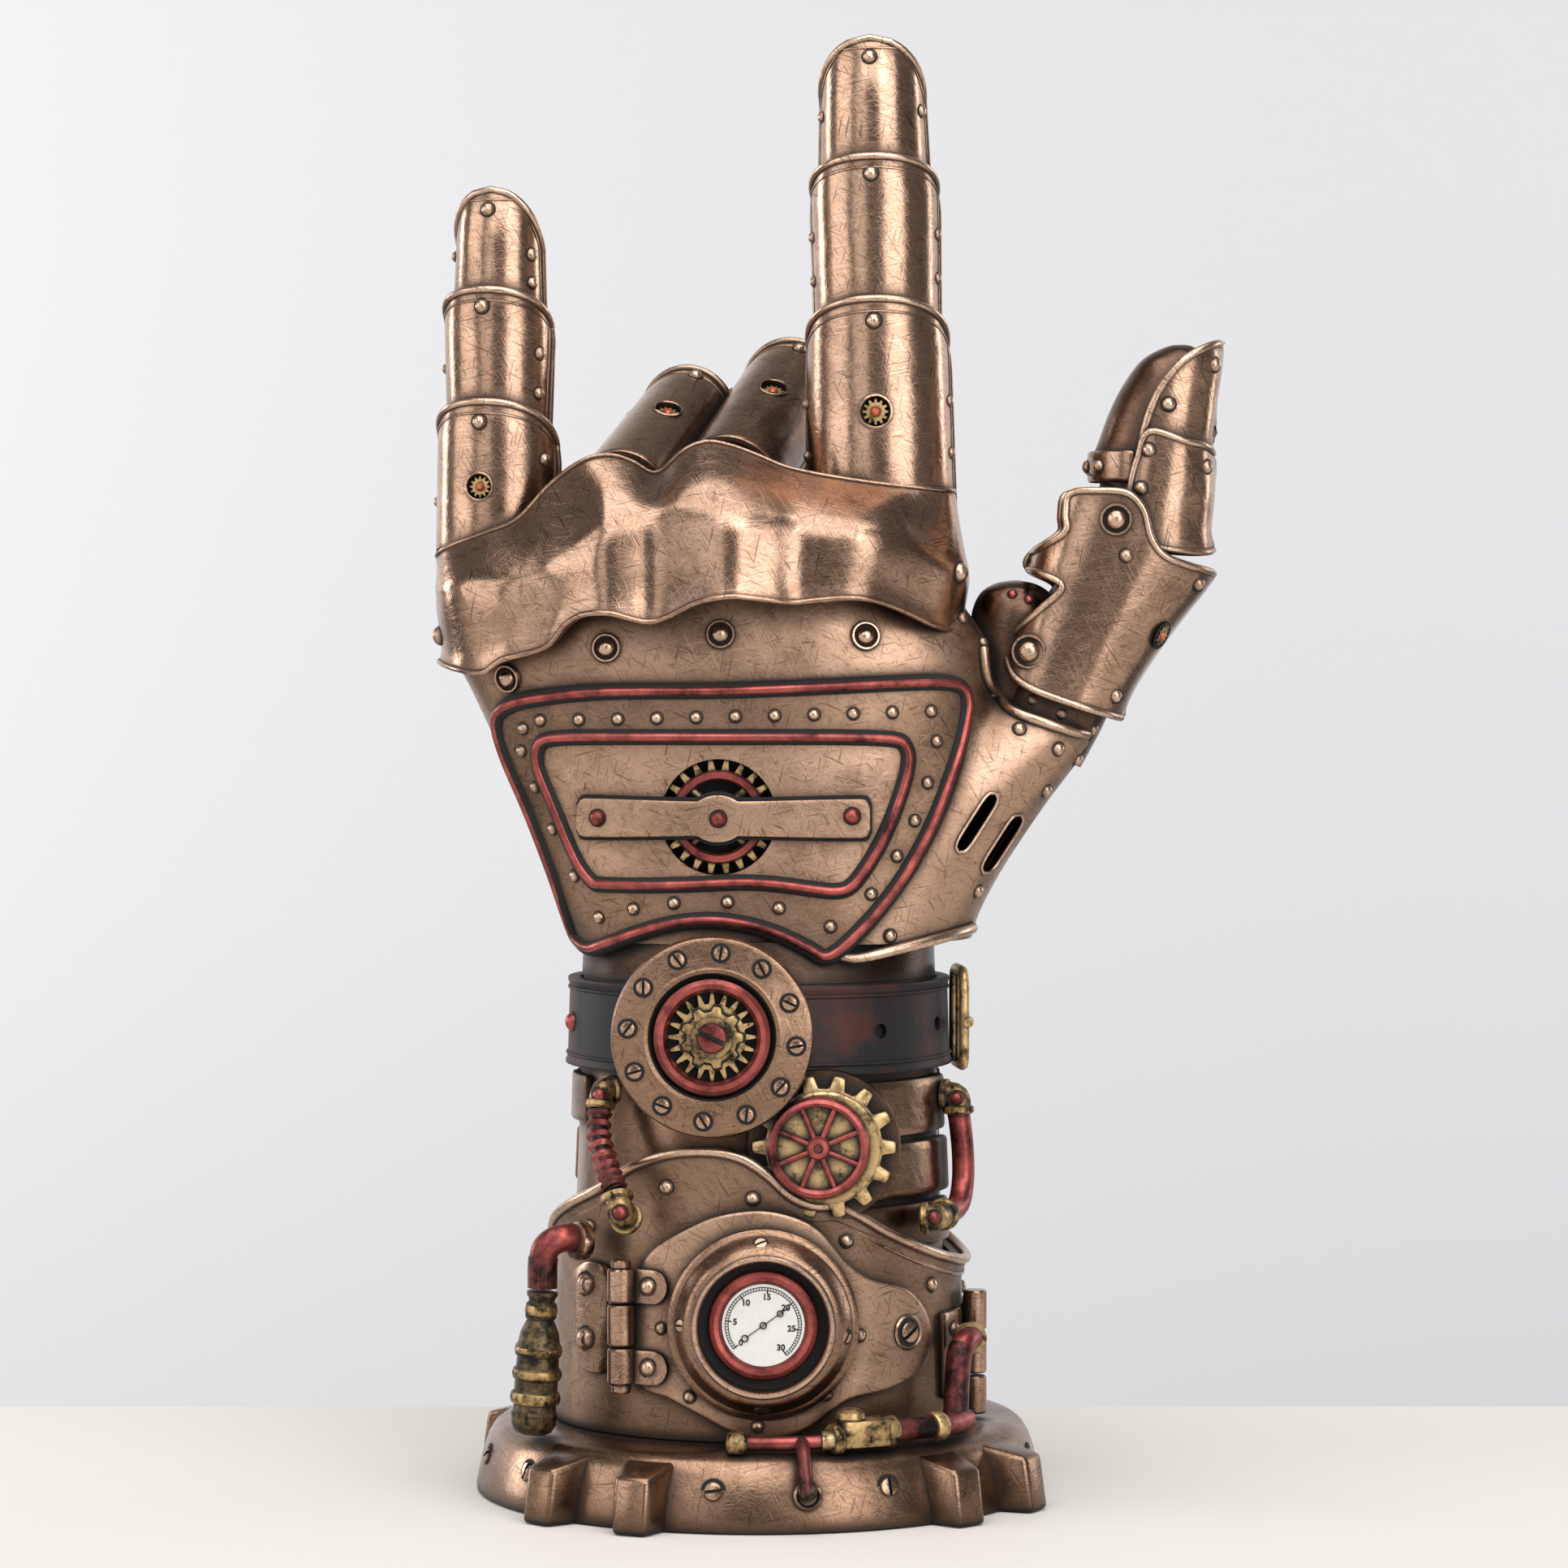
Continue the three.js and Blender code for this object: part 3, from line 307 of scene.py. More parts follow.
def addNode(tree, kind, sockets=None, **settings):
    node = tree.nodes.new(kind)
    for name, value in settings.items():
        setattr(node, name, value)
    for socket, value in (sockets or {}).items():
        if isinstance(value, bpy.types.NodeSocket):
            tree.links.new(value, node.inputs[socket])
        else:
            node.inputs[socket].default_value = value
    return node


def startFinish(name):
    material = bpy.data.materials.new(name)
    material.use_nodes = True
    tree = material.node_tree
    tree.nodes.clear()
    place = addNode(tree, "ShaderNodeTexCoord").outputs["Object"]
    return material, tree, place


def endFinish(material, tree, **sockets):
    shader = addNode(tree, "ShaderNodeBsdfPrincipled", {k.replace("_", " "): v for k, v in sockets.items()})
    addNode(tree, "ShaderNodeOutputMaterial", {"Surface": shader.outputs[0]})
    return material


def crevices(tree, reach, low, high):
    # 1 deep in a recess, 0 on open surface
    hollow = addNode(tree, "ShaderNodeAmbientOcclusion", {"Distance": reach * mm}, samples=6)
    return addNode(
        tree, "ShaderNodeMapRange", {"Value": hollow.outputs["AO"], "From Min": high, "From Max": low}
    ).outputs[0]


def laidFlat(tree, place):
    # the two coordinates that run along a surface, chosen by the way it faces
    facing = addNode(tree, "ShaderNodeTexCoord").outputs["Normal"]
    size = addNode(tree, "ShaderNodeVectorMath", {0: facing}, operation="ABSOLUTE")
    towards = addNode(tree, "ShaderNodeSeparateXYZ", {0: size.outputs[0]})
    spot = addNode(tree, "ShaderNodeSeparateXYZ", {0: place})
    sideways = addNode(tree, "ShaderNodeMath", {0: towards.outputs[0], 1: 0.72}, operation="GREATER_THAN")
    upwards = addNode(tree, "ShaderNodeMath", {0: towards.outputs[2], 1: 0.78}, operation="GREATER_THAN")
    across = addNode(tree, "ShaderNodeMix", {0: sideways.outputs[0], 2: spot.outputs[0], 3: spot.outputs[1]})
    along = addNode(tree, "ShaderNodeMix", {0: upwards.outputs[0], 2: spot.outputs[2], 3: spot.outputs[1]})
    return addNode(tree, "ShaderNodeCombineXYZ", {0: across.outputs[0], 1: along.outputs[0]}).outputs[0]


def scratches(tree, flat, turns, low, high, wide=2600, long=110):
    # short fine lines in several directions; wide and long are features per metre
    found = None
    for turn in turns:
        spot = addNode(
            tree, "ShaderNodeMapping",
            {"Vector": flat, "Rotation": (0, 0, math.radians(turn)), "Scale": (1 / long, 1 / wide, 1)},
            vector_type="TEXTURE",
        )
        noise = addNode(
            tree, "ShaderNodeTexNoise",
            {"Vector": spot.outputs[0], "Scale": 1, "Detail": 1, "Roughness": 0.4, "Distortion": 0.5},
            noise_dimensions="2D",
        )
        line = addNode(
            tree, "ShaderNodeMapRange", {"Value": noise.outputs[0], "From Min": low, "From Max": high}
        ).outputs[0]
        if found:
            line = addNode(tree, "ShaderNodeMath", {0: found, 1: line}, operation="MAXIMUM").outputs[0]
        found = line
    return found


def castBronze(name, light, deep, recess, polish, dull=0.24, reach=2.6):
    # Cold-cast bronze, rubbed bright over a brown patina: satin, uneven, crossed by short brush marks.
    material, tree, place = startFinish(name)
    mottle = addNode(
        tree, "ShaderNodeTexNoise", {"Vector": place, "Scale": 48, "Detail": 5, "Roughness": 0.6}
    )  # stains about 20 mm across
    stain = addNode(
        tree, "ShaderNodeMapRange", {"Value": mottle.outputs[0], "From Min": 0.46, "From Max": 0.68, "To Max": 0.75}
    )
    grain = addNode(
        tree, "ShaderNodeTexNoise", {"Vector": place, "Scale": 1400, "Detail": 2, "Roughness": 0.6}
    )  # cast grain of 0.7 mm
    flat = laidFlat(tree, place)
    brushed = scratches(tree, flat, (7, -16, 41, -63), 0.6, 0.78, 4200, 170)
    lines = scratches(tree, flat, (-24, 12, 78, -58), 0.69, 0.78, 3400, 200)
    specks = addNode(
        tree, "ShaderNodeMapRange", {"Value": grain.outputs[0], "From Min": 0.62, "From Max": 0.74, "To Max": 0.9}
    )  # pits of half a millimetre that hold the dark patina
    dark = addNode(tree, "ShaderNodeMath", {0: lines, 1: specks.outputs[0]}, operation="MAXIMUM").outputs[0]
    surface = addNode(
        tree, "ShaderNodeMix", {0: stain.outputs[0], 6: linear(light), 7: linear(deep)}, data_type="RGBA"
    )
    bright = addNode(tree, "ShaderNodeMath", {0: brushed, 1: 0.3}, operation="MULTIPLY")
    rubbed = addNode(
        tree, "ShaderNodeMix", {0: bright.outputs[0], 6: surface.outputs[2], 7: linear(polish)}, data_type="RGBA"
    )
    soft = addNode(tree, "ShaderNodeMath", {0: dark, 1: 0.62}, operation="MULTIPLY")
    marked = addNode(
        tree, "ShaderNodeMix", {0: soft.outputs[0], 6: rubbed.outputs[2], 7: linear("#452e21")}, data_type="RGBA"
    )
    # painted shade by occlusion: near tight corners the colour goes towards recess, dark patina and painted shade
    # together; within 8 mm of hollows it goes towards deep, which is painted shade
    corner = crevices(tree, reach, 0.48, 0.95)
    shade = crevices(tree, 8, 0.45, 0.97)
    broadShade = addNode(
        tree, "ShaderNodeMix", {0: shade, 6: marked.outputs[2], 7: linear(deep)}, data_type="RGBA"
    )
    patinaAndShade = addNode(
        tree, "ShaderNodeMix", {0: corner, 6: broadShade.outputs[2], 7: linear(recess)}, data_type="RGBA"
    )
    matt = addNode(
        tree, "ShaderNodeMapRange", {"Value": stain.outputs[0], "To Min": dull, "To Max": dull + 0.1}
    )
    rough = addNode(tree, "ShaderNodeMath", {0: corner, 1: 0.4, 2: matt.outputs[0]}, operation="MULTIPLY_ADD")
    metallic = addNode(tree, "ShaderNodeMapRange", {"Value": corner, "To Min": 0.97, "To Max": 0.3})
    waves = addNode(
        tree, "ShaderNodeTexNoise", {"Vector": place, "Scale": 115, "Detail": 2, "Roughness": 0.5}
    )  # hand-worked unevenness of 9 mm, which makes the reflections wander
    uneven = addNode(
        tree, "ShaderNodeBump", {"Height": waves.outputs[0], "Strength": 0.5, "Distance": 0.4 * mm}
    )
    relief = addNode(tree, "ShaderNodeMath", {0: grain.outputs[0], 1: 0.35}, operation="MULTIPLY")
    grooves = addNode(tree, "ShaderNodeMath", {0: dark, 1: brushed}, operation="ADD")
    height = addNode(
        tree, "ShaderNodeMath", {0: grooves.outputs[0], 1: -0.5, 2: relief.outputs[0]}, operation="MULTIPLY_ADD"
    )
    bump = addNode(
        tree, "ShaderNodeBump",
        {"Height": height.outputs[0], "Strength": 0.16, "Distance": 0.1 * mm, "Normal": uneven.outputs[0]},
    )
    return endFinish(
        material, tree, Base_Color=patinaAndShade.outputs[2], Metallic=metallic.outputs[0], Roughness=rough.outputs[0],
        Normal=bump.outputs[0],
    )


def washedPaint(name, raised, worn, recess, metallic, roughness, wornShare=0.5, patch=260, spread=0.1, reach=1.8):
    # Metallic paint rubbed over a black wash: bright on what stands out, black in the recesses, where black wash and
    # painted shade lie together.
    material, tree, place = startFinish(name)
    patches = addNode(
        tree, "ShaderNodeTexNoise", {"Vector": place, "Scale": patch, "Detail": 6, "Roughness": 0.7}
    )
    rub = addNode(
        tree, "ShaderNodeMapRange",
        {"Value": patches.outputs[0], "From Min": wornShare - spread, "From Max": wornShare + spread},
    )
    paint = addNode(
        tree, "ShaderNodeMix", {0: rub.outputs[0], 6: linear(raised), 7: linear(worn)}, data_type="RGBA"
    )
    # painted shade with the black wash: the colour goes towards recess near corners, found by occlusion
    corner = crevices(tree, reach, 0.5, 0.94)
    washAndShade = addNode(
        tree, "ShaderNodeMix", {0: corner, 6: paint.outputs[2], 7: linear(recess)}, data_type="RGBA"
    )
    shine = addNode(tree, "ShaderNodeMapRange", {"Value": corner, "To Min": metallic, "To Max": 0.1})
    rough = addNode(
        tree, "ShaderNodeMapRange",
        {"Value": patches.outputs[0], "To Min": roughness - 0.1, "To Max": roughness + 0.15},
    )
    bump = addNode(
        tree, "ShaderNodeBump", {"Height": patches.outputs[0], "Strength": 0.3, "Distance": 0.2 * mm}
    )
    return endFinish(
        material, tree, Base_Color=washAndShade.outputs[2], Metallic=shine.outputs[0], Roughness=rough.outputs[0],
        Normal=bump.outputs[0],
    )


def waxedLeather(name):
    # Painted to look like waxed leather: near black, worn to red-brown in broad patches, low sheen.
    material, tree, place = startFinish(name)
    worn = addNode(tree, "ShaderNodeTexNoise", {"Vector": place, "Scale": 60, "Detail": 4, "Roughness": 0.6})
    share = addNode(tree, "ShaderNodeMapRange", {"Value": worn.outputs[0], "From Min": 0.48, "From Max": 0.63})
    hide = addNode(
        tree, "ShaderNodeMix", {0: share.outputs[0], 6: linear("#1d1b1d"), 7: linear("#45221c")}, data_type="RGBA"
    )
    # painted shade: the colour goes towards near black in recesses, found by occlusion
    corner = crevices(tree, 2, 0.3, 0.85)
    colour = addNode(tree, "ShaderNodeMix", {0: corner, 6: hide.outputs[2], 7: linear("#0f0c0c")}, data_type="RGBA")
    grain = addNode(tree, "ShaderNodeTexVoronoi", {"Vector": place, "Scale": 1300}, feature="DISTANCE_TO_EDGE")
    bump = addNode(tree, "ShaderNodeBump", {"Height": grain.outputs[0], "Strength": 0.25, "Distance": 0.1 * mm})
    return endFinish(
        material, tree, Base_Color=colour.outputs[2], Roughness=0.5, Specular_IOR_Level=0.22, Normal=bump.outputs[0]
    )


def plainFinish(name, colour, roughness, coat=0.0):
    material, tree, place = startFinish(name)
    grain = addNode(tree, "ShaderNodeTexNoise", {"Vector": place, "Scale": 900, "Detail": 3})
    tone = [c * 0.86 for c in linear(colour)[:3]] + [1]
    mottled = addNode(
        tree, "ShaderNodeMix", {0: grain.outputs[0], 6: linear(colour), 7: tone}, data_type="RGBA"
    )
    return endFinish(material, tree, Base_Color=mottled.outputs[2], Roughness=roughness, Coat_Weight=coat)


bronze = castBronze("cast_bronze_rubbed", "#ad8b74", "#523a2d", "#120c08", "#dcc1ac", 0.18)
mattBronze = castBronze("cast_bronze_matt", "#b08f77", "#4f372a", "#120c08", "#cfb39c", 0.36)
brightBronze = castBronze("cast_bronze_edges", "#c9aa93", "#8b6d5b", "#1a120d", "#e6cdb8")
washerBronze = castBronze("cast_bronze_washers", "#c9aa93", "#8b6d5b", "#1a120d", "#e6cdb8", reach=0.25)
# a darker matt bronze, for the cuff and the plate's outer border
deepMattBronze = castBronze("cast_bronze_stained", "#8c705b", "#4a3528", "#120c08", "#b39782", 0.36)
oldBronze = castBronze("cast_bronze_patina", "#6b5142", "#3c2b22", "#0f0b08", "#937663")
agedBronze = castBronze("cast_bronze_aged", "#8b6d58", "#4c3729", "#0f0a07", "#bb9e88", 0.24)
wristShadeBronze = castBronze("cast_bronze_dark", "#46352c", "#2e221b", "#0d0907", "#7a604f", 0.3)
copperRed = washedPaint("copper_red_rubbed", "#a8554f", "#3a191a", "#0f0909", 0.85, 0.34, 0.53, 150, 0.14)
blackenedRed = washedPaint("copper_red_blackened", "#7a3c38", "#1a0e0e", "#0a0606", 0.7, 0.4, 0.47, 200, 0.1)
orangeRed = washedPaint("copper_orange_dots", "#cf6d50", "#8a3f30", "#1a0d0a", 0.6, 0.36, 0.56, 500, 0.1, 0.5)
brass = washedPaint("brass_dry_brushed", "#cdad7c", "#403220", "#0e0b09", 0.85, 0.36, 0.55, 420, 0.09)
windowBrass = washedPaint("brass_gear_teeth", "#c0a06f", "#463723", "#0e0b09", 0.8, 0.36, 0.55, 600, 0.08, 0.6)
agedBrass = washedPaint("brass_aged", "#b09263", "#241d15", "#0c0a08", 0.85, 0.38, 0.5, 420, 0.09)
blackenedBrass = washedPaint("brass_blackened", "#6b5838", "#1a1611", "#0a0807", 0.7, 0.42, 0.47, 500, 0.1)
leather = waxedLeather("strap_leather_waxed")
dialPaper = plainFinish("dial_printed_enamel", "#dad8d2", 0.35, coat=0.3)
dialInk = plainFinish("dial_ink", "#0c0c0c", 0.5)
# near black; serves as black wash and as painted shade in holes, wells, gaps and round the feet of raised parts
blackWashAndShade = plainFinish("black_wash_and_shade", "#0a0807", 0.8)
print("finishes made")


def painted(piece, material):
    piece.data.materials.clear()
    piece.data.materials.append(material)
    return piece


def finishPiece(name, parts, standsIn=True):
    # joins the painted parts, brings them to metres and hands them to the frame, where the piece stands for
    # the node that its name starts with
    piece = joined(name, parts)
    piece.data.transform(Matrix.Scale(mm, 4))
    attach(piece, "root")
    if standsIn:
        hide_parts(name.rpartition("_")[0])
    return piece


def rivetSeed():
    # a dome of radius 1 standing on a low shoulder, with a near-black ring round its foot: black wash and painted
    # shade
    profile = [
        (0, -0.6), (0.98, -0.6), (1.04, 0.0), (1.0, 0.16), (0.86, 0.46), (0.62, 0.68), (0.32, 0.8), (0, 0.84),
    ]
    dome = painted(turned(profile, axis=up, columns=16), brightBronze)
    ring = [(0.8, -0.5), (1.22, -0.5), (1.22, 0.02), (0.8, 0.05), (0.8, -0.5)]
    return joined("rivetSeed", [dome, painted(turned(ring, axis=up, columns=16), blackWashAndShade)])


def washerSeed():
    # a dome in a raised ring, radius 1 at the ring
    profile = [
        (0, -0.4), (1.08, -0.4), (1.08, 0.2), (1.02, 0.3), (0.9, 0.3), (0.84, 0.2), (0.8, 0.02), (0.68, 0.02),
    ]
    profile += [(0.62, 0.26), (0.5, 0.44), (0.28, 0.56), (0, 0.58)]
    head = painted(turned(profile, axis=up, columns=28), washerBronze)
    # near black in the gap between dome and ring: black wash and painted shade
    ring = [(0, -0.2), (0.82, -0.2), (0.82, 0.06), (0, 0.07)]
    return joined("washerSeed", [head, painted(turned(ring, axis=up, columns=28), blackWashAndShade)])


def screwSeed():
    # a low slotted head in a near-black ring of radius 1, which also shows at the bottom of the slot: black wash and
    # painted shade
    profile = [(0, -0.2), (0.74, -0.2), (0.74, 0.16), (0.67, 0.27), (0.42, 0.33), (0, 0.34)]
    head = turned(profile, axis=up, columns=32)
    painted(cutAway(head, block((1.9, 0.26, 0.6), (0, 0, 0.24), edge=0.01, segments=1)), bronze)
    ring = [(0, -0.3), (1.0, -0.3), (1.0, 0.03), (0, 0.05)]
    return joined("screwSeed", [head, painted(turned(ring, axis=up, columns=32), blackWashAndShade)])


seeds = {"rivet": rivetSeed(), "washer": washerSeed(), "screw": screwSeed()}


def fastener(kind, point, normal, size=1.0, turn=0.0, material=None):
    seed = seeds[kind]
    mesh = seed.data.copy()
    copy = bpy.data.objects.new(kind, mesh)
    bpy.context.collection.objects.link(copy)
    aim = Vector(normal).to_track_quat("Z", "Y").to_matrix().to_4x4()
    mesh.transform(
        Matrix.Translation(point) @ aim @ Matrix.Rotation(math.radians(turn), 4, "Z") @ Matrix.Scale(size, 4)
    )
    if material:
        mesh.materials[0] = material
    return copy


def tidySeeds():
    for seed in seeds.values():
        bpy.data.objects.remove(seed)


def treeOf(*pieces):
    vertices, faces = [], []
    for piece in pieces:
        start = len(vertices)
        vertices += [vertex.co.copy() for vertex in piece.data.vertices]
        faces += [[start + index for index in face.vertices] for face in piece.data.polygons]
    return BVHTree.FromPolygons(vertices, faces)


def seenFromFront(tree, x, z):
    # where a straight look from the front meets a surface
    point, normal, _, _ = tree.ray_cast(Vector((x, -120, z)), -towardsViewer)
    if point is None:
        point, normal, _, _ = tree.find_nearest(Vector((x, -10, z)))
    return point, normal


def studded(tree, places, size=1.0, kind="rivet", turn=0.0, material=None):
    found = []
    for i, (x, z) in enumerate(places):
        point, normal = seenFromFront(tree, x, z)
        found.append(fastener(kind, point, normal, size, turn * i, material))
    return found


def rivetNear(tree, spot, size):
    point, normal, _, _ = tree.find_nearest(Vector(spot))
    return fastener("rivet", point, normal, size)


armSections = [(12.35, 31.4, 30.2), (40, 30.6, 29), (60, 29.8, 27.4), (78, 29.3, 26), (92, 28.8, 23.2)]


def armHalf(z, index):
    return keyed([(section[0], section[index]) for section in armSections], z)


def onArm(degrees, z, lift=0.0):
    angle = math.radians(degrees)
    return Vector(((armHalf(z, 1) + lift) * math.sin(angle), -(armHalf(z, 2) + lift) * math.cos(angle), z))


def armRivet(degrees, z, lift, size):
    point = onArm(degrees, z, lift)
    return fastener("rivet", point, Vector((point.x, point.y, 0)), size)


def armFront(x, z, lift=0.0):
    # the arm's surface as seen from the front
    share = max(0, 1 - (x / (armHalf(z, 1) + lift)) ** 2)
    return Vector((x, -(armHalf(z, 2) + lift) * math.sqrt(share), z))


def softPower(value, power):
    return math.copysign(abs(value) ** (2 / power), value)


def cogFoot():
    look = {
        "profile": [(27.5, 12.2), (36, 12.2), (41.2, 11.9), (42.9, 11.4), (44.0, 10.5), (44.9, 9), (45.8, 6.4),
                    (46.5, 3.2), (46.9, 1), (46.8, 0.25), (46.3, 0), (27.5, 0), (27.5, 12.2)],
        "toothTip": 52.3, "toothRoot": 42.5, "tipHalf": 2.9, "rootHalf": 4.7, "tipZ": 9.0, "rootZ": 10.9,
        "pairs": (-33, 51, 143, -127.5), "spread": 10,
    }
    body = turned(look["profile"], axis=up, columns=160)
    parts = [painted(body, agedBronze)]
    for middle in look["pairs"]:
        for side in (-1, 1):
            angle = math.radians(middle + side * look["spread"] - 90)
            outward = Vector((math.cos(angle), math.sin(angle), 0))
            across = Vector((-outward.y, outward.x, 0))
            tooth = added(bpy.ops.mesh.primitive_cube_add, size=2)
            for vertex in tooth.data.vertices:
                far, wide, high = (vertex.co.x > 0), vertex.co.y, (vertex.co.z > 0)
                reach = look["toothTip"] if far else look["toothRoot"]
                half = look["tipHalf"] if far else look["rootHalf"]
                top = look["tipZ"] if far else look["rootZ"]
                if far and high:
                    reach -= 1.3
                vertex.co = outward * reach + across * half * wide + up * (top if high else 0.05)
            applyModifier(tooth, "BEVEL", width=0.9, segments=3)
            parts.append(painted(smooth(tooth), agedBronze))
    for degrees, turn in (
        (-77, 30), (-54.5, 70), (-8.8, 8), (27.1, 92), (78, 20), (110, 60), (172, 15), (-160, 75),
    ):
        angle = math.radians(degrees)
        point = Vector((45.6 * math.sin(angle), -45.6 * math.cos(angle), 6.6))
        normal = Vector((math.sin(angle), -math.cos(angle), 0.22))
        parts.append(fastener("screw", point, normal, 2.05, turn))
    finishPiece("cog_foot_cast", parts)


def armTube():
    low, high = cornersOf("arm_tube")
    skin = shapedGrid("arm", 120, 40, lambda u, v: onArm(360 * u - 180, mix(low.z, high.z, v)), closed=True)
    parts = [painted(wall(skin, 2.8, 0), agedBronze)]

    # Stepped armour bands under the strap, on both sides of the wheel and round the back.
    bands = [(16, 80, 60.2, 69.4, 1.6), (25, 80, 50.2, 59.2, 1.9), (30, 80, 42, 49.2, 1.6)]
    bands += [(-92, -66, 61.6, 69.4, 1.4)]
    # painted shade: a dark skin round the top of the arm, between the strap and the hand
    dark = shapedGrid("wrist", 120, 3, lambda u, v: onArm(360 * u - 180, mix(85.4, high.z, v), 0.25), closed=True)
    parts.append(painted(wall(dark, 0.5, 0), wristShadeBronze))
    bands += [(a, a + 50, z, z + 9, lift) for a in (104, 156, 208) for z, lift in ((60.2, 1.9), (50.4, 1.5))]
    for start, end, bottom, top, lift in bands:
        band = shapedGrid("band", 24, 6, lambda u, v: onArm(mix(start, end, u), mix(bottom, top, v), lift))
        parts.append(painted(wall(band, lift + 0.4, 0.7), agedBronze))
    finishPiece("arm_tube_cast", parts)


cuffRim = [
    (-180, 50), (-140, 47), (-110, 42), (-92, 40.4), (-80, 45), (-65, 48.4), (-48.6, 52), (-37, 55.8), (-25, 58.2),
    (-13.7, 58.8), (-4.5, 57.8), (3, 55), (8.5, 51.9), (15, 50.1), (21.7, 50), (28, 48.4), (37, 45.4), (50, 42.2),
    (68, 39.4), (85, 38.3), (105, 39), (135, 44), (180, 50),
]
cuffSkin = 2.95  # how far the cuff's face stands off the arm


def cuff():
    low = cornersOf("cuff")[0].z

    def face(u, v):
        degrees = 360 * u - 180
        flare = 0.9 * ramp(v, 0.86, 1)
        return onArm(degrees, mix(low, keyed(cuffRim, degrees), v), cuffSkin + flare)

    skin = shapedGrid("cuff", 180, 24, face, closed=True)
    tree = treeOf(skin)
    parts = [painted(wall(skin, 2.6, 0.3), deepMattBronze)]
    rim = [face(i / 200, 1) + Vector((0, 0, 0.1)) for i in range(200)]
    parts.append(painted(rod(rim, 0.85, closed=True), brightBronze))
    groove = [onArm(1.8 * i - 180, keyed(cuffRim, 1.8 * i - 180) - 2.3, cuffSkin + 0.25) for i in range(200)]
    parts.append(painted(rod(groove, 0.34, closed=True, sides=1), bronze))
    parts += studded(tree, [(-14.7, 52.9), (-0.8, 51.4), (-27.4, 45.4), (14.2, 44.4), (28.2, 35.8)], 1.15)
    for degrees in (95, 118, 141, 164, 187, 210, 233, 252):
        turn = (degrees + 180) % 360 - 180
        parts += [armRivet(degrees, z, cuffSkin, 1.15) for z in (keyed(cuffRim, turn) - 5.5, 17)]
    finishPiece("cuff_cast", parts)


def drapedPlate(outline, centre, surface, columns, rows, hole=0.0):
    # a plate laid over a surface inside an outline seen from the front; centre is inside it
    centre = Vector(centre)
    flat = [Vector((p[0], p[1], 0)) for p in outline]

    def place(u, v):
        edge = along(flat, u, closed=True) - centre
        start = edge.normalized() * hole
        spot = centre + start.lerp(edge, v)
        return surface(spot.x, spot.y)

    return shapedGrid("plate", columns, rows, place, closed=True)


def barrels(middle, spans, radius, chamfer=0.25, columns=24):
    # the knuckles of a hinge, one above the other
    found = []
    for low, high in spans:
        profile = [
            (0, low), (radius - chamfer, low), (radius, low + 0.3), (radius, high - 0.3),
            (radius - chamfer, high), (0, high),
        ]
        found.append(painted(turned(profile, middle, up, columns), bronze))
    return found


doorOutline = [
    (-20.6, 31), (-19.2, 39.4), (-16.4, 43.6), (-11, 46.9), (-6.3, 48.9), (0.1, 49.8), (5.9, 48.7), (10.2, 46.2),
    (14, 41.6), (18.1, 38.4), (24.9, 35.6), (28.2, 29.6), (27, 23.4), (21.5, 20.4), (15.5, 19.3), (12.2, 17.5),
    (8.6, 15), (4.3, 13.6), (-0.5, 13.3), (-4.6, 14.6), (-8.9, 16.8), (-14.2, 19.4), (-19.2, 21.6),
]


def door():
    lift = 5.3
    outline = smoothOutline(doorOutline, 8)
    centre = middleOf("gauge_dial")
    skin = drapedPlate(outline, (centre.x, centre.z, 0), lambda x, z: armFront(x, z, lift), 184, 14, hole=9)
    faceAlong(skin, towardsViewer)
    tree = treeOf(skin)
    parts = [painted(wall(skin, 2.4, 0.55), mattBronze)]
    places = [
        (-0.1, 45.1), (-11.1, 39.6), (-15.5, 30.6), (-10.9, 19.9), (0, 15.4), (10.9, 20.2), (16.4, 29.4),
        (11.7, 39.9),
    ]
    parts += studded(tree, places, 0.98)
    point, normal = seenFromFront(tree, 24.2, 29.2)
    parts.append(
        painted(
            turned([(2.2, -1), (2.9, -1), (2.9, 0.2), (2.6, 0.45), (2.2, 0.2), (2.2, -1)], point, normal, 32),
            bronze,
        ),
    )
    lock = fastener("screw", point + normal * 0.2, normal, 2.3, 35)
    finishPiece("door_plate_cast", parts)
    finishPiece("door_lock_screw_cast", [lock])

    pin = Vector((-22.0, -29.6, 0))
    hinge = barrels(pin, ((21.4, 27.2), (27.6, 34.2), (34.6, 40)), 2.25)
    hinge += barrels(pin, ((19.9, 21.5), (39.9, 41.4)), 1.6, 0.2, 20)
    for z in (24.2, 37.2):
        def leafFace(u, v):
            half = 2.7 * math.sqrt(max(0.02, 1 - max(0, (u - 0.66) / 0.34) ** 2))
            return armFront(mix(-21.6, -14.6, u), z + half * (2 * v - 1), 6.2)

        leaf = shapedGrid("leaf", 24, 8, leafFace)
        hinge.append(painted(wall(leaf, 1.5, 0.5), bronze))
        hinge.append(fastener("rivet", armFront(-17.6, z, 6.2), (-0.45, -1, 0), 1.35))
    centre = Vector((-27, 31.0, 0))
    outline = [
        centre + Vector(
            ((3.2 + 0.9 * math.sin(2 * a) ** 2) * softPower(math.cos(a), 3), 9 * softPower(math.sin(a), 2.6), 0)
        ) for a in turnIn(60)
    ]
    leaf = drapedPlate(outline, centre, lambda x, z: armFront(x, z, cuffSkin + 1.1), 60, 5)
    faceAlong(leaf, towardsViewer)
    hinge.append(painted(wall(leaf, 1.5, 0.5), bronze))
    for z in (36.2, 27.4):
        hinge.append(fastener("rivet", armFront(-27.9, z, cuffSkin + 1.1), (-0.85, -1, 0), 1.75))
    finishPiece("door_hinge_cast", hinge)


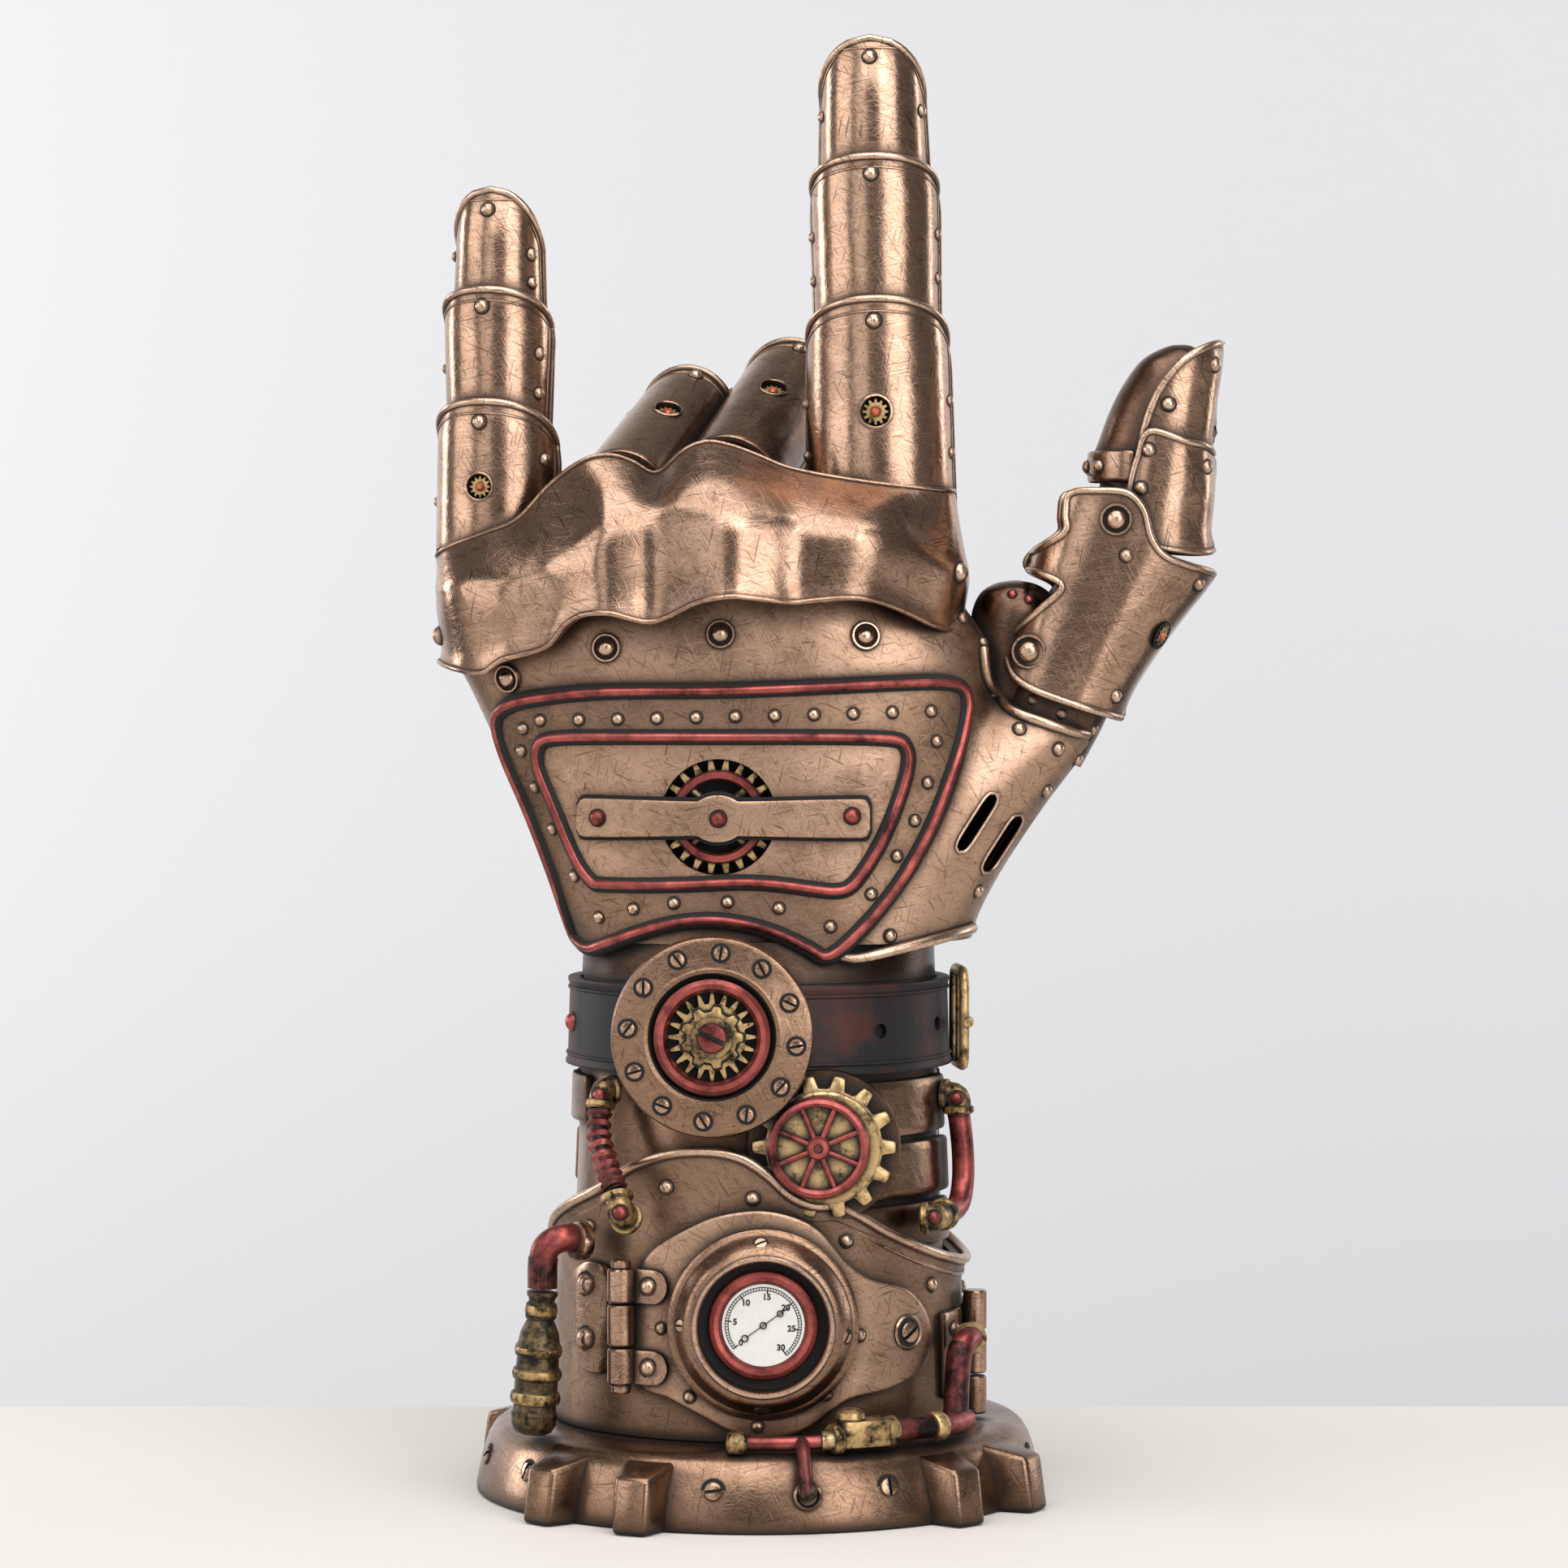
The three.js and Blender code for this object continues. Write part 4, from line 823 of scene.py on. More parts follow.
def sideHinge():
    parts = barrels(Vector((35.7, -7.2, 0)), ((13.2, 19.4), (19.9, 26.6), (27.1, 33.6)), 1.95)
    for start, end in ((60, 74), (82, 100)):
        leaf = shapedGrid("leaf", 8, 8, lambda u, v: onArm(mix(start, end, u), mix(17, 31, v), cuffSkin + 1.1))
        parts.append(painted(wall(leaf, 1.4, 0.5), bronze))
    parts += [armRivet(degrees, z, cuffSkin + 1.1, 1.2) for degrees in (66, 93) for z in (20, 28)]
    finishPiece("side_hinge_cast", parts)


def gauge():
    low, high = cornersOf("gauge_dial")
    centre = Vector(((low.x + high.x) / 2, high.y, (low.z + high.z) / 2))
    profile = [
        (10.2, -2), (15.2, -3), (15.3, 0.6), (14.7, 1.1), (14.2, 1.2), (13.6, 2.1), (12.8, 3.4), (12.3, 3.9),
        (11.6, 4.1), (11.0, 3.9), (10.7, 3.3), (10.5, 1.0), (10.2, -2),
    ]
    parts = [painted(turned(profile, centre, columns=96), agedBronze)]
    lip = [(10.4, 3.2), (11.2, 3.5), (11.5, 4.1), (11.2, 4.5), (10.8, 4.5), (10.5, 4.0), (10.4, 3.2)]
    parts.append(painted(turned(lip, centre, columns=96), brightBronze))
    for x, z, turn in ((-0.4, 13.2, 25), (-13.1, 0.2, 0), (-0.3, -13.2, 20), (13.1, -1.6, 60)):
        spot = centre + Vector((x, -2.55, z))
        tilt = Vector((x * 0.06, -1, z * 0.06))
        parts.append(fastener("screw", spot, tilt, 1.35, turn))
    finishPiece("gauge_bezel_cast", parts)

    # painted shade: a near-black floor in the well between the bezel and the red ring
    floor = painted(turned([(0, 0.2), (10.5, 0.2), (10.5, -0.6), (0, -0.6)], centre, columns=64), blackWashAndShade)
    profile = [
        (6.5, 0), (8.7, 0), (8.9, 0.7), (8.6, 1.4), (7.9, 1.75), (7.2, 1.6), (6.7, 1.1), (6.5, 0.4), (6.5, 0),
    ]
    red = painted(turned(profile, centre, columns=96), copperRed)
    finishPiece("gauge_ring_painted", [floor, red])

    dial = [painted(turned([(0, 0.1), (6.6, 0.1), (6.6, 0.9), (0, 0.95)], centre, columns=72), dialPaper)]
    faceY = centre.y - 0.97
    rotation = 7  # the dial sits a little turned in its ring

    def mark(size, radius, degrees):
        angle = math.radians(degrees + rotation)
        spot = Vector((centre.x + radius * math.sin(angle), faceY, centre.z + radius * math.cos(angle)))
        tick = block((size[0], 0.06, size[1]), spot, degrees + rotation, edge=0.005, segments=1)
        return painted(tick, dialInk)

    for step in range(61):
        tall = 1.0 if step % 10 == 0 else 0.5
        width = 0.2 if step % 10 == 0 else 0.11
        dial.append(mark((width, tall), 6.1 - tall / 2, -135 + 4.5 * step))
    for radius in (5.6, 6.1):
        arc = [
            Vector((centre.x + radius * math.sin(a), faceY, centre.z + radius * math.cos(a)))
            for a in (math.radians(-135 + rotation + 4.5 * i) for i in range(61))
        ]
        dial.append(painted(rod(arc, 0.06, sides=1), dialInk))
    for i in range(7):
        angle = math.radians(-135 + rotation + 45 * i)
        number = added(bpy.ops.object.text_add)
        number.data.body = str(5 * i)
        number.data.size = 1.35
        number.data.align_x = number.data.align_y = "CENTER"
        number.data.extrude = 0.03
        number.data.offset = 0.045
        bpy.ops.object.convert(target="MESH")
        number = bpy.context.object
        number.data.transform(Matrix.Rotation(math.radians(90), 4, "X"))
        number.data.transform(
            Matrix.Translation((centre.x + 4.55 * math.sin(angle), faceY, centre.z + 4.55 * math.cos(angle)))
        )
        dial.append(painted(number, dialInk))
    needle = math.radians(54.8)
    aim = Vector((math.sin(needle), 0, math.cos(needle)))
    hub = Vector((centre.x, faceY - 0.2, centre.z))
    dial.append(painted(rod([hub - aim * 3.4, hub + aim * 5.2], 0.08, sides=1), dialInk))
    for reach, size in ((0, 0.5), (3.3, 0.45), (-3.6, 0.5)):
        loop = [hub + aim * reach + Vector((size * math.cos(a), 0, size * math.sin(a))) for a in turnIn(24)]
        dial.append(painted(rod(loop, 0.11, closed=True, sides=1), dialInk))
    finishPiece("gauge_dial_printed", dial)


def wheels():
    front = cornersOf("wheel_cog")[0].y
    centre = Vector((middleOf("wheel_cog").x, front, middleOf("wheel_cog").z))
    cog = gearWheel(14, 9.4, 11.5, 1.5, 2.3, centre, edge=0.3)
    step = painted(
        turned([(0, 0), (8.9, 0), (9.0, 0.35), (8.6, 0.6), (0, 0.6)], centre + Vector((0, -0.05, 0)), columns=64),
        brass,
    )
    parts = [painted(cog, brass), step]
    profile = [(0, -1.9), (12.2, -1.9), (12.4, -3.2), (0, -3.2)]
    parts.append(painted(turned(profile, centre, columns=64), oldBronze))
    finishPiece("wheel_cog_cast", parts)

    centre = Vector((middleOf("spoke_wheel").x, front - 0.6, middleOf("spoke_wheel").z))
    profile = [(6.7, 0.1), (7.9, 0.1), (8.25, 0.8), (7.9, 1.5), (7.3, 1.75), (6.8, 1.4), (6.6, 0.7), (6.7, 0.1)]
    parts = [turned(profile, centre, columns=64)]
    parts.append(
        turned(
            [(0, 0.1), (1.9, 0.1), (2.0, 0.9), (1.6, 1.6), (0.8, 1.75), (0.7, 1.3), (0, 1.2)], centre, columns=28
        ),
    )
    for i in range(8):
        angle = math.radians(45 * i + 22.5)
        aim = Vector((math.cos(angle), 0, math.sin(angle)))
        start = centre + aim * 1.4 + Vector((0, -0.75, 0))
        parts.append(rod([start, start + aim * 5.8], 0.48, sides=2))
    finishPiece("spoke_wheel_cast", [painted(part, copperRed) for part in parts])


def strap():
    low, high = cornersOf("strap")
    lift = 2.55

    def face(u, v):
        edge = 0.35 * ramp(abs(2 * v - 1), 0.8, 0.92)
        return onArm(360 * u - 180, mix(low.z, high.z, v), lift + edge - 0.35)

    skin = shapedGrid("strap", 160, 26, face, closed=True)
    parts = [painted(wall(skin, 2.0, 0.35), leather)]
    tree = treeOf(parts[0])
    for z in (low.z + 1.7, high.z - 1.7):
        crease = [onArm(1.8 * i - 180, z, lift - 0.3) for i in range(200)]
        parts.append(painted(rod(crease, 0.3, closed=True, sides=2), leather))
    for x, z in ((19.9, 77.6), (29.4, 77.9)):
        point, normal = seenFromFront(tree, x, z)
        cutAway(parts[0], cylinder(1.2, 2.6, point, normal, 28))
        # painted shade: a near-black disc at the bottom of each hole
        well = [(0, -1.2), (1.25, -1.2), (1.25, -1.6), (0, -1.6)]
        parts.append(painted(turned(well, point, normal, 20), blackWashAndShade))
    painted(parts[0], leather)
    point, normal = seenFromFront(tree, -30.6, 77.9)
    parts.append(fastener("rivet", point, normal, 1.5, material=copperRed))
    finishPiece("strap_waxed", parts)

    low, high = cornersOf("strap_buckle")
    middle = (low + high) / 2
    corners = []
    for x, y, z in ((33.9, low.y, low.z), (33.9, low.y, high.z), (32.6, high.y, high.z), (32.6, high.y, low.z)):
        corners.append(Vector((x, mix(y, middle.y, 0.12), mix(z, middle.z, 0.1))))
    loop = []
    for i, corner in enumerate(corners):
        before, after = corners[i - 1], corners[(i + 1) % 4]
        for k in range(5):
            t = k / 4
            a = corner.lerp(before, 0.2)
            b = corner.lerp(after, 0.2)
            loop.append(a.lerp(corner, t).lerp(corner.lerp(b, t), t))
    frameRod = rod(loop, 0.85, closed=True)
    bar = rod([Vector((middle.x - 0.2, middle.y, low.z + 1)), Vector((middle.x - 0.2, middle.y, high.z - 1))], 0.7)
    finishPiece("strap_buckle_cast", [painted(part, brass) for part in (frameRod, bar)])
    start = Vector((middle.x + 0.5, middle.y + 0.2, 77.8))
    end = Vector((middle.x + 1.1, low.y - 0.6, 77.8))
    prong = rod([start, start.lerp(end, 0.5) + Vector((0.5, 0, 0)), end], 0.8)
    finishPiece("buckle_prong_cast", [painted(prong, brass)])


def medallion():
    centre = Vector(
        (middleOf("medallion_ring").x, cornersOf("medallion_flange")[0].y, middleOf("medallion_ring").z)
    )
    profile = [
        (0, -2.4), (9.9, -2.4), (9.9, -0.5), (10.3, 0), (10.9, 0.15), (11.3, 0), (15.2, 0), (15.9, -0.25),
        (16.2, -0.8), (16.2, -2.2), (15.8, -2.6), (13.2, -2.7), (12.6, -3.2), (12.6, -11), (0, -11),
    ]
    plate = painted(turned(profile, centre, columns=96), agedBronze)
    parts = [plate]
    for i in range(12):
        angle = math.radians(30 * i + 6)
        spot = centre + Vector((13.55 * math.sin(angle), -0.02, 13.55 * math.cos(angle)))
        parts.append(fastener("screw", spot, towardsViewer, 1.6, 37 * i + 80))
    # painted shade: a near-black floor in the recess inside the flange
    parts.append(painted(turned([(0, -2.1), (9.85, -2.1), (9.85, -2.5), (0, -2.5)], centre, columns=48), blackWashAndShade))
    finishPiece("medallion_flange_cast", parts)

    profile = [
        (7.2, -1.9), (9.0, -1.9), (9.45, -0.9), (9.3, 0.2), (8.6, 0.85), (7.8, 0.7), (7.3, 0), (7.1, -1),
        (7.2, -1.9),
    ]
    finishPiece(
        "medallion_ring_painted", [painted(turned(profile, centre, columns=96), copperRed)]
    )
    big = gearWheel(20, 5.3, 7.1, 1, 0.9, centre + Vector((0, 0.7, 0)), 0.1, crest=0.09)
    small = gearWheel(9, 4.1, 5.0, 0.8, 0.9, centre + Vector((0, -0.6, 0)), 0.2)
    # painted shade: a near-black gear, a little larger than the small gear and behind it, as its dark outline
    outline = painted(gearWheel(9, 4.5, 5.4, 0.8, 0.3, centre + Vector((0, -0.05, 0)), 0.05), blackWashAndShade)
    cap = turned([(0, 0.5), (3.2, 0.5), (3.3, 0.8), (3.0, 1.1), (0, 1.1)], centre, columns=32)
    finishPiece(
        "medallion_gear_cast",
        [painted(big, windowBrass), painted(small, agedBrass), outline, painted(cap, agedBrass)]
    )
    screw = fastener("screw", centre + Vector((0, -1.0, 0)), towardsViewer, 3.3, -25, copperRed)
    screw.data.materials[1] = agedBrass
    finishPiece("medallion_screw_painted", [screw])


def fitting(path, radius, dot=None):
    # a brass elbow with a collar at each end
    dense = smoothPath(path, 6)
    parts = [painted(rod(dense, radius, sides=4), agedBrass)]
    for index in (0, -1):
        near = dense[index]
        inner = dense[1 if index == 0 else -2]
        aim = (near - inner).normalized()
        collar = [
            (0, -1.3), (radius + 0.1, -1.3), (radius + 0.5, -1.0), (radius + 0.5, -0.2), (radius + 0.1, 0.1),
            (0, 0.1),
        ]
        parts.append(painted(turned(collar, near, aim, 28), agedBrass))
    if dot:
        parts.append(fastener("rivet", dot[0], dot[1], 1.15, material=copperRed))
    return parts


def pipes():
    hosePath = smoothPath([(-25.6, -22, 65.4), (-25.6, -25.5, 60.5), (-24, -30.2, 55.8), (-22.7, -32.6, 52.8)], 16)
    radii = [1 + 0.22 * math.cos(math.tau * i / 5) for i in range(len(hosePath))]
    hose = painted(rod(hosePath, 1.75, sides=4, radii=radii), copperRed)
    core = painted(rod(hosePath, 1.62, sides=4), blackenedRed)
    finishPiece("ribbed_hose_painted", [hose, core])
    top = fitting(
        [(-23.4, -20.6, 68), (-25.1, -22.2, 67.8), (-25.6, -23, 65.2)], 2.0,
        ((-25.6, -24.2, 67.4), (-0.2, -1, 0.25)),
    )
    finishPiece("hose_elbow_top_cast", top)
    low = fitting(
        [(-22.6, -33, 52.4), (-21.9, -34.2, 49.6), (-20.9, -31.4, 48.2)], 2.15,
        ((-21.9, -36.2, 49.8), (0.05, -1, 0.1)),
    )
    finishPiece("hose_elbow_bottom_cast", low)

    side = smoothPath(
        [(32.9, -9, 63.4), (33.6, -9, 57), (33.6, -9.4, 51.5), (32.6, -12.5, 48), (30.2, -17.8, 47.4)], 10
    )
    parts = [painted(rod(side, 1.85, sides=4), copperRed), painted(rod(side[:3], 1.9, sides=4), blackenedRed)]
    finishPiece("side_pipe_painted", parts)
    top = fitting([(30.2, -8, 66), (32.6, -8.8, 65.7), (32.9, -9, 63)], 2.1, ((32.6, -10.8, 65.6), (0.2, -1, 0)))
    finishPiece("pipe_elbow_top_cast", top)
    low = fitting(
        [(30.4, -17.6, 47.4), (28.6, -21.8, 47.3), (26.4, -22, 47.2)], 2.15, ((28.4, -23.8, 47.5), (0.1, -1, 0))
    )
    finishPiece("pipe_elbow_bottom_cast", low)

    elbow = smoothPath([(-28.6, -23.2, 43.8), (-31.6, -25.2, 44.4), (-34.4, -26, 42.4), (-34.8, -26, 36.4)], 10)
    parts = [painted(rod(elbow, 2.35, sides=4), copperRed), painted(rod(elbow[-9:], 2.42, sides=4), blackenedRed)]
    profile = [(0, -1), (3.1, -1), (3.3, 0), (3.0, 0.8), (2.2, 1), (0, 1)]
    parts.append(painted(turned(profile, (-28.9, -24.2, 43.8), (-0.75, -0.55, 0.1), 28), bronze))
    finishPiece("tank_elbow_painted", parts)

    profile = [
        (0, 0), (2.0, 0), (3.0, 0.5), (3.6, 1.6), (3.75, 3.4), (3.5, 3.8), (3.45, 4.9), (3.9, 5.3), (4.05, 6.0),
        (3.9, 6.8), (3.5, 7.2), (3.5, 8.8), (3.9, 9.2), (4.0, 9.9), (3.9, 10.6), (3.45, 11), (3.4, 12.6),
        (3.75, 13), (3.85, 13.6), (3.75, 14.4), (3.4, 14.9), (3.1, 16.6), (2.4, 18.2), (2.2, 18.6), (2.5, 19.0),
        (2.6, 19.9), (2.5, 21.2), (2.1, 21.6), (2.2, 22.2), (2.5, 22.6), (2.5, 23.2), (0, 23.4),
    ]
    base = cornersOf("pressure_tank")[0].z
    home, aim = Vector((-36.4, -26, base + 0.1)), Vector((math.sin(math.radians(4)), 0, math.cos(math.radians(4))))
    parts = [painted(turned(profile, home, aim, 40), blackenedBrass)]
    for bottom, top, radius in ((4.9, 7.1, 4.02), (8.9, 10.9, 3.97), (12.8, 14.6, 3.82), (19.0, 21.3, 2.6)):
        ridge = [(radius - 0.6, bottom), (radius - 0.1, bottom + 0.25), (radius + 0.1, mix(bottom, top, 0.5)),
                 (radius - 0.1, top - 0.25), (radius - 0.6, top), (radius - 0.6, bottom)]
        parts.append(painted(turned(ridge, home, aim, 40), agedBrass))
    finishPiece("pressure_tank_cast", parts)

    riser = smoothPath([(35.4, -15.6, 26.4), (34.2, -19.4, 27.2), (32.6, -22.4, 24.8), (32, -24, 15.4)], 10)
    run = smoothPath([(33.8, -23.4, 14.8), (30.2, -29.8, 14.7), (25.6, -33.6, 14.9), (20.4, -37, 14.9)], 10)
    parts = [painted(rod(riser, 2.0, sides=4), copperRed), painted(rod(run, 1.7, sides=4), copperRed)]
    parts += [
        painted(rod(riser[17:], 2.06, sides=4), blackenedRed), painted(rod(run[13:], 1.76, sides=4), blackenedRed)
    ]
    for spot, aim, size in (
        ((34.6, -18.2, 27.1), (0.5, -0.8, 0.2), 2.4), ((28.7, -31.4, 14.8), (-0.7, -0.6, 0), 2.15)
    ):
        collar = [(0, -1.2), (size, -1.2), (size + 0.25, -0.8), (size + 0.25, 0.8), (size, 1.2), (0, 1.2)]
        parts.append(painted(turned(collar, spot, aim, 28), brass))
    finishPiece("foot_pipe_painted", parts)

    body = block((8.0, 4.6, 4.4), (16.8, -38.6, 15.0), 24, "Z", edge=0.5)
    cap = turned([(0, 0), (2.1, 0), (2.4, 0.6), (2.2, 1.4), (1.4, 2.0), (0, 2.2)], (14.8, -39.4, 16.9), up, 28)
    ends = [
        turned([(0, -1), (2.2, -1), (2.5, -0.6), (2.5, 0.6), (2.2, 1), (0, 1)], spot, (0.85, 0.5, 0), 24)
        for spot in ((21.0, -36.7, 14.9), (12.4, -40.2, 14.2))
    ]
    finishPiece("valve_block_cast", [painted(part, agedBrass) for part in (body, cap, *ends)])

    branch = smoothPath([(12.0, -40.4, 13.9), (6, -41.4, 13.7), (-2.6, -41.2, 13.6)], 8)
    drop = smoothPath([(7, -41.4, 13.8), (7.3, -44.6, 12.6), (7.6, -47, 9.6), (7.7, -47.8, 6.6)], 8)
    parts = [painted(rod(branch, 1.1, sides=3), copperRed), painted(rod(drop, 1.15, sides=3), blackenedRed)]
    boss = [(0, -1.5), (2.2, -1.5), (2.3, 0.3), (1.9, 0.7), (1.5, 0.2), (0, 0.2)]
    parts.append(painted(turned(boss, (7.9, -45.6, 6.0), (0.17, -1, 0.2), 32), bronze))
    knob = [(0, -1), (1.35, -1), (1.6, 0.2), (1.5, 1.4), (1.0, 2.0), (0, 2.1)]
    parts.append(painted(turned(knob, (7.9, -46.6, 6.9), (0.1, -0.75, 0.25), 24), blackenedBrass))
    end = [(0, -1.5), (1.5, -1.5), (1.9, -1), (1.9, 1.2), (1.4, 1.7), (0, 1.9)]
    parts.append(painted(turned(end, (-3.2, -41.2, 13.6), (-1, 0, 0.05), 24), agedBrass))
    parts.append(
        painted(turned([(0, -1.2), (1.5, -1.2), (1.5, 1.2), (0, 1.2)], (11.4, -40.7, 14), (1, 0.1, 0), 20), brass)
    )
    finishPiece("foot_branch_painted", parts)


handSections = [
    # height, middle, half width, half depth, tilt
    (85, 3.0, 30.8, 22.6, 0), (92.3, 2.6, 32.4, 22.6, 0), (99, 1.4, 34.8, 22.3, 0), (112, 0.2, 38.5, 21.8, 0),
    (124, -2, 41.6, 21.2, 0), (134, -4.5, 43.6, 20.6, 0.01), (139, -6.0, 44.4, 20.2, 0.03),
    (145, -8.7, 42.0, 19.6, 0.06), (152.5, -9, 40.6, 18, 0.11), (158, -9.2, 39, 15, 0.14),
    (160.4, -9.2, 34, 9, 0.14),
]
thumbBallSections = [
    # middle x, height, half width, half depth, slope
    (12, 85, 22.6, 21.0, 0), (14.5, 95, 21.4, 20.4, -4), (20.6, 105, 19.2, 19.2, -12),
    (29.8, 116.5, 17.2, 16.6, -16), (39.5, 122.8, 12.6, 13.2, -20), (48.0, 127.8, 8.6, 10.2, -23),
]


def handShell():
    def section(u, v):
        height, middle, half, depth, tilt = (
            keyed(
                [(i / (len(handSections) - 1), row[k]) for i, row in enumerate(handSections)], v
            ) for k in range(5)
        )
        angle = math.tau * u - math.pi
        x = half * softPower(math.sin(angle), 2.5)
        return Vector((middle + x, -depth * softPower(math.cos(angle), 2.5), height + tilt * (middle + x + 9)))

    def ball(u, v):
        middle, height, half, depth, slope = (
            keyed([(i / (len(thumbBallSections) - 1), row[k]) for i, row in enumerate(thumbBallSections)], v)
            for k in range(5)
        )
        angle = math.tau * u - math.pi
        across = half * softPower(math.sin(angle), 2.2)
        lean = math.radians(slope)
        return Vector(
            (
                middle + across * math.cos(lean), -depth * softPower(math.cos(angle), 2.2),
                height + across * math.sin(lean),
            ),
        )

    solids = []
    for name, place in (("palm", section), ("ball", ball)):
        part = shapedGrid(name, 96, 40, place, closed=True)
        editAll(part, closeEnds, faceOut)
        solids.append(part)
    hand = joined("hand", solids)
    applyModifier(hand, "REMESH", mode="VOXEL", voxel_size=0.9)
    applyModifier(hand, "SMOOTH", factor=0.6, iterations=14)
    return hand


def onHandWith(tree, lift):
    # a function that gives the hand's front surface, raised by lift
    def surface(x, z):
        point, normal = seenFromFront(tree, x, z)
        return point + Vector((normal.x, normal.y, 0)).normalized() * lift

    return surface


backEdge = [
    (-26.5, 90.4), (-24.4, 91.2), (-18.9, 93.6), (-13.2, 95.2), (-7.7, 95.7), (-2.2, 95.1), (3.3, 93.5), (8.4, 91),
    (11.3, 89.7), (16, 93.7), (20.8, 99.2), (25.3, 105.8), (29.2, 113.5), (31.6, 120.7), (33, 127.3), (33.3, 131.4),
    (31, 133.8), (19.8, 133.7), (8.8, 133.2), (-7.7, 132.6), (-24.3, 132.5), (-35.3, 131.4), (-40.3, 130),
    (-42, 127.4), (-40.3, 121.3), (-36.9, 113.5), (-32.6, 102.5), (-29.9, 94.3), (-28.6, 91.4),
]
panelEdge = [
    (-26.4, 101.8), (-24.4, 101.2), (-13, 101.3), (-1, 101.8), (8, 100.8), (12.6, 100.3), (15.6, 101.8),
    (19.8, 108.5), (22.5, 115.2), (24, 120.7), (23.5, 123.7), (20.8, 124.9), (8, 125.2), (-8, 125.2), (-24, 125.2),
    (-32.4, 125), (-34.9, 123.9), (-35.2, 120.4), (-32.6, 114.1), (-28.9, 105.3),
]


def isInside(outline, x, z):
    crossings = 0
    for i, (x1, z1) in enumerate(outline):
        x0, z0 = outline[i - 1]
        if (z0 > z) != (z1 > z) and x < x0 + (x1 - x0) * (z - z0) / (z1 - z0):
            crossings += 1
    return crossings % 2 == 1


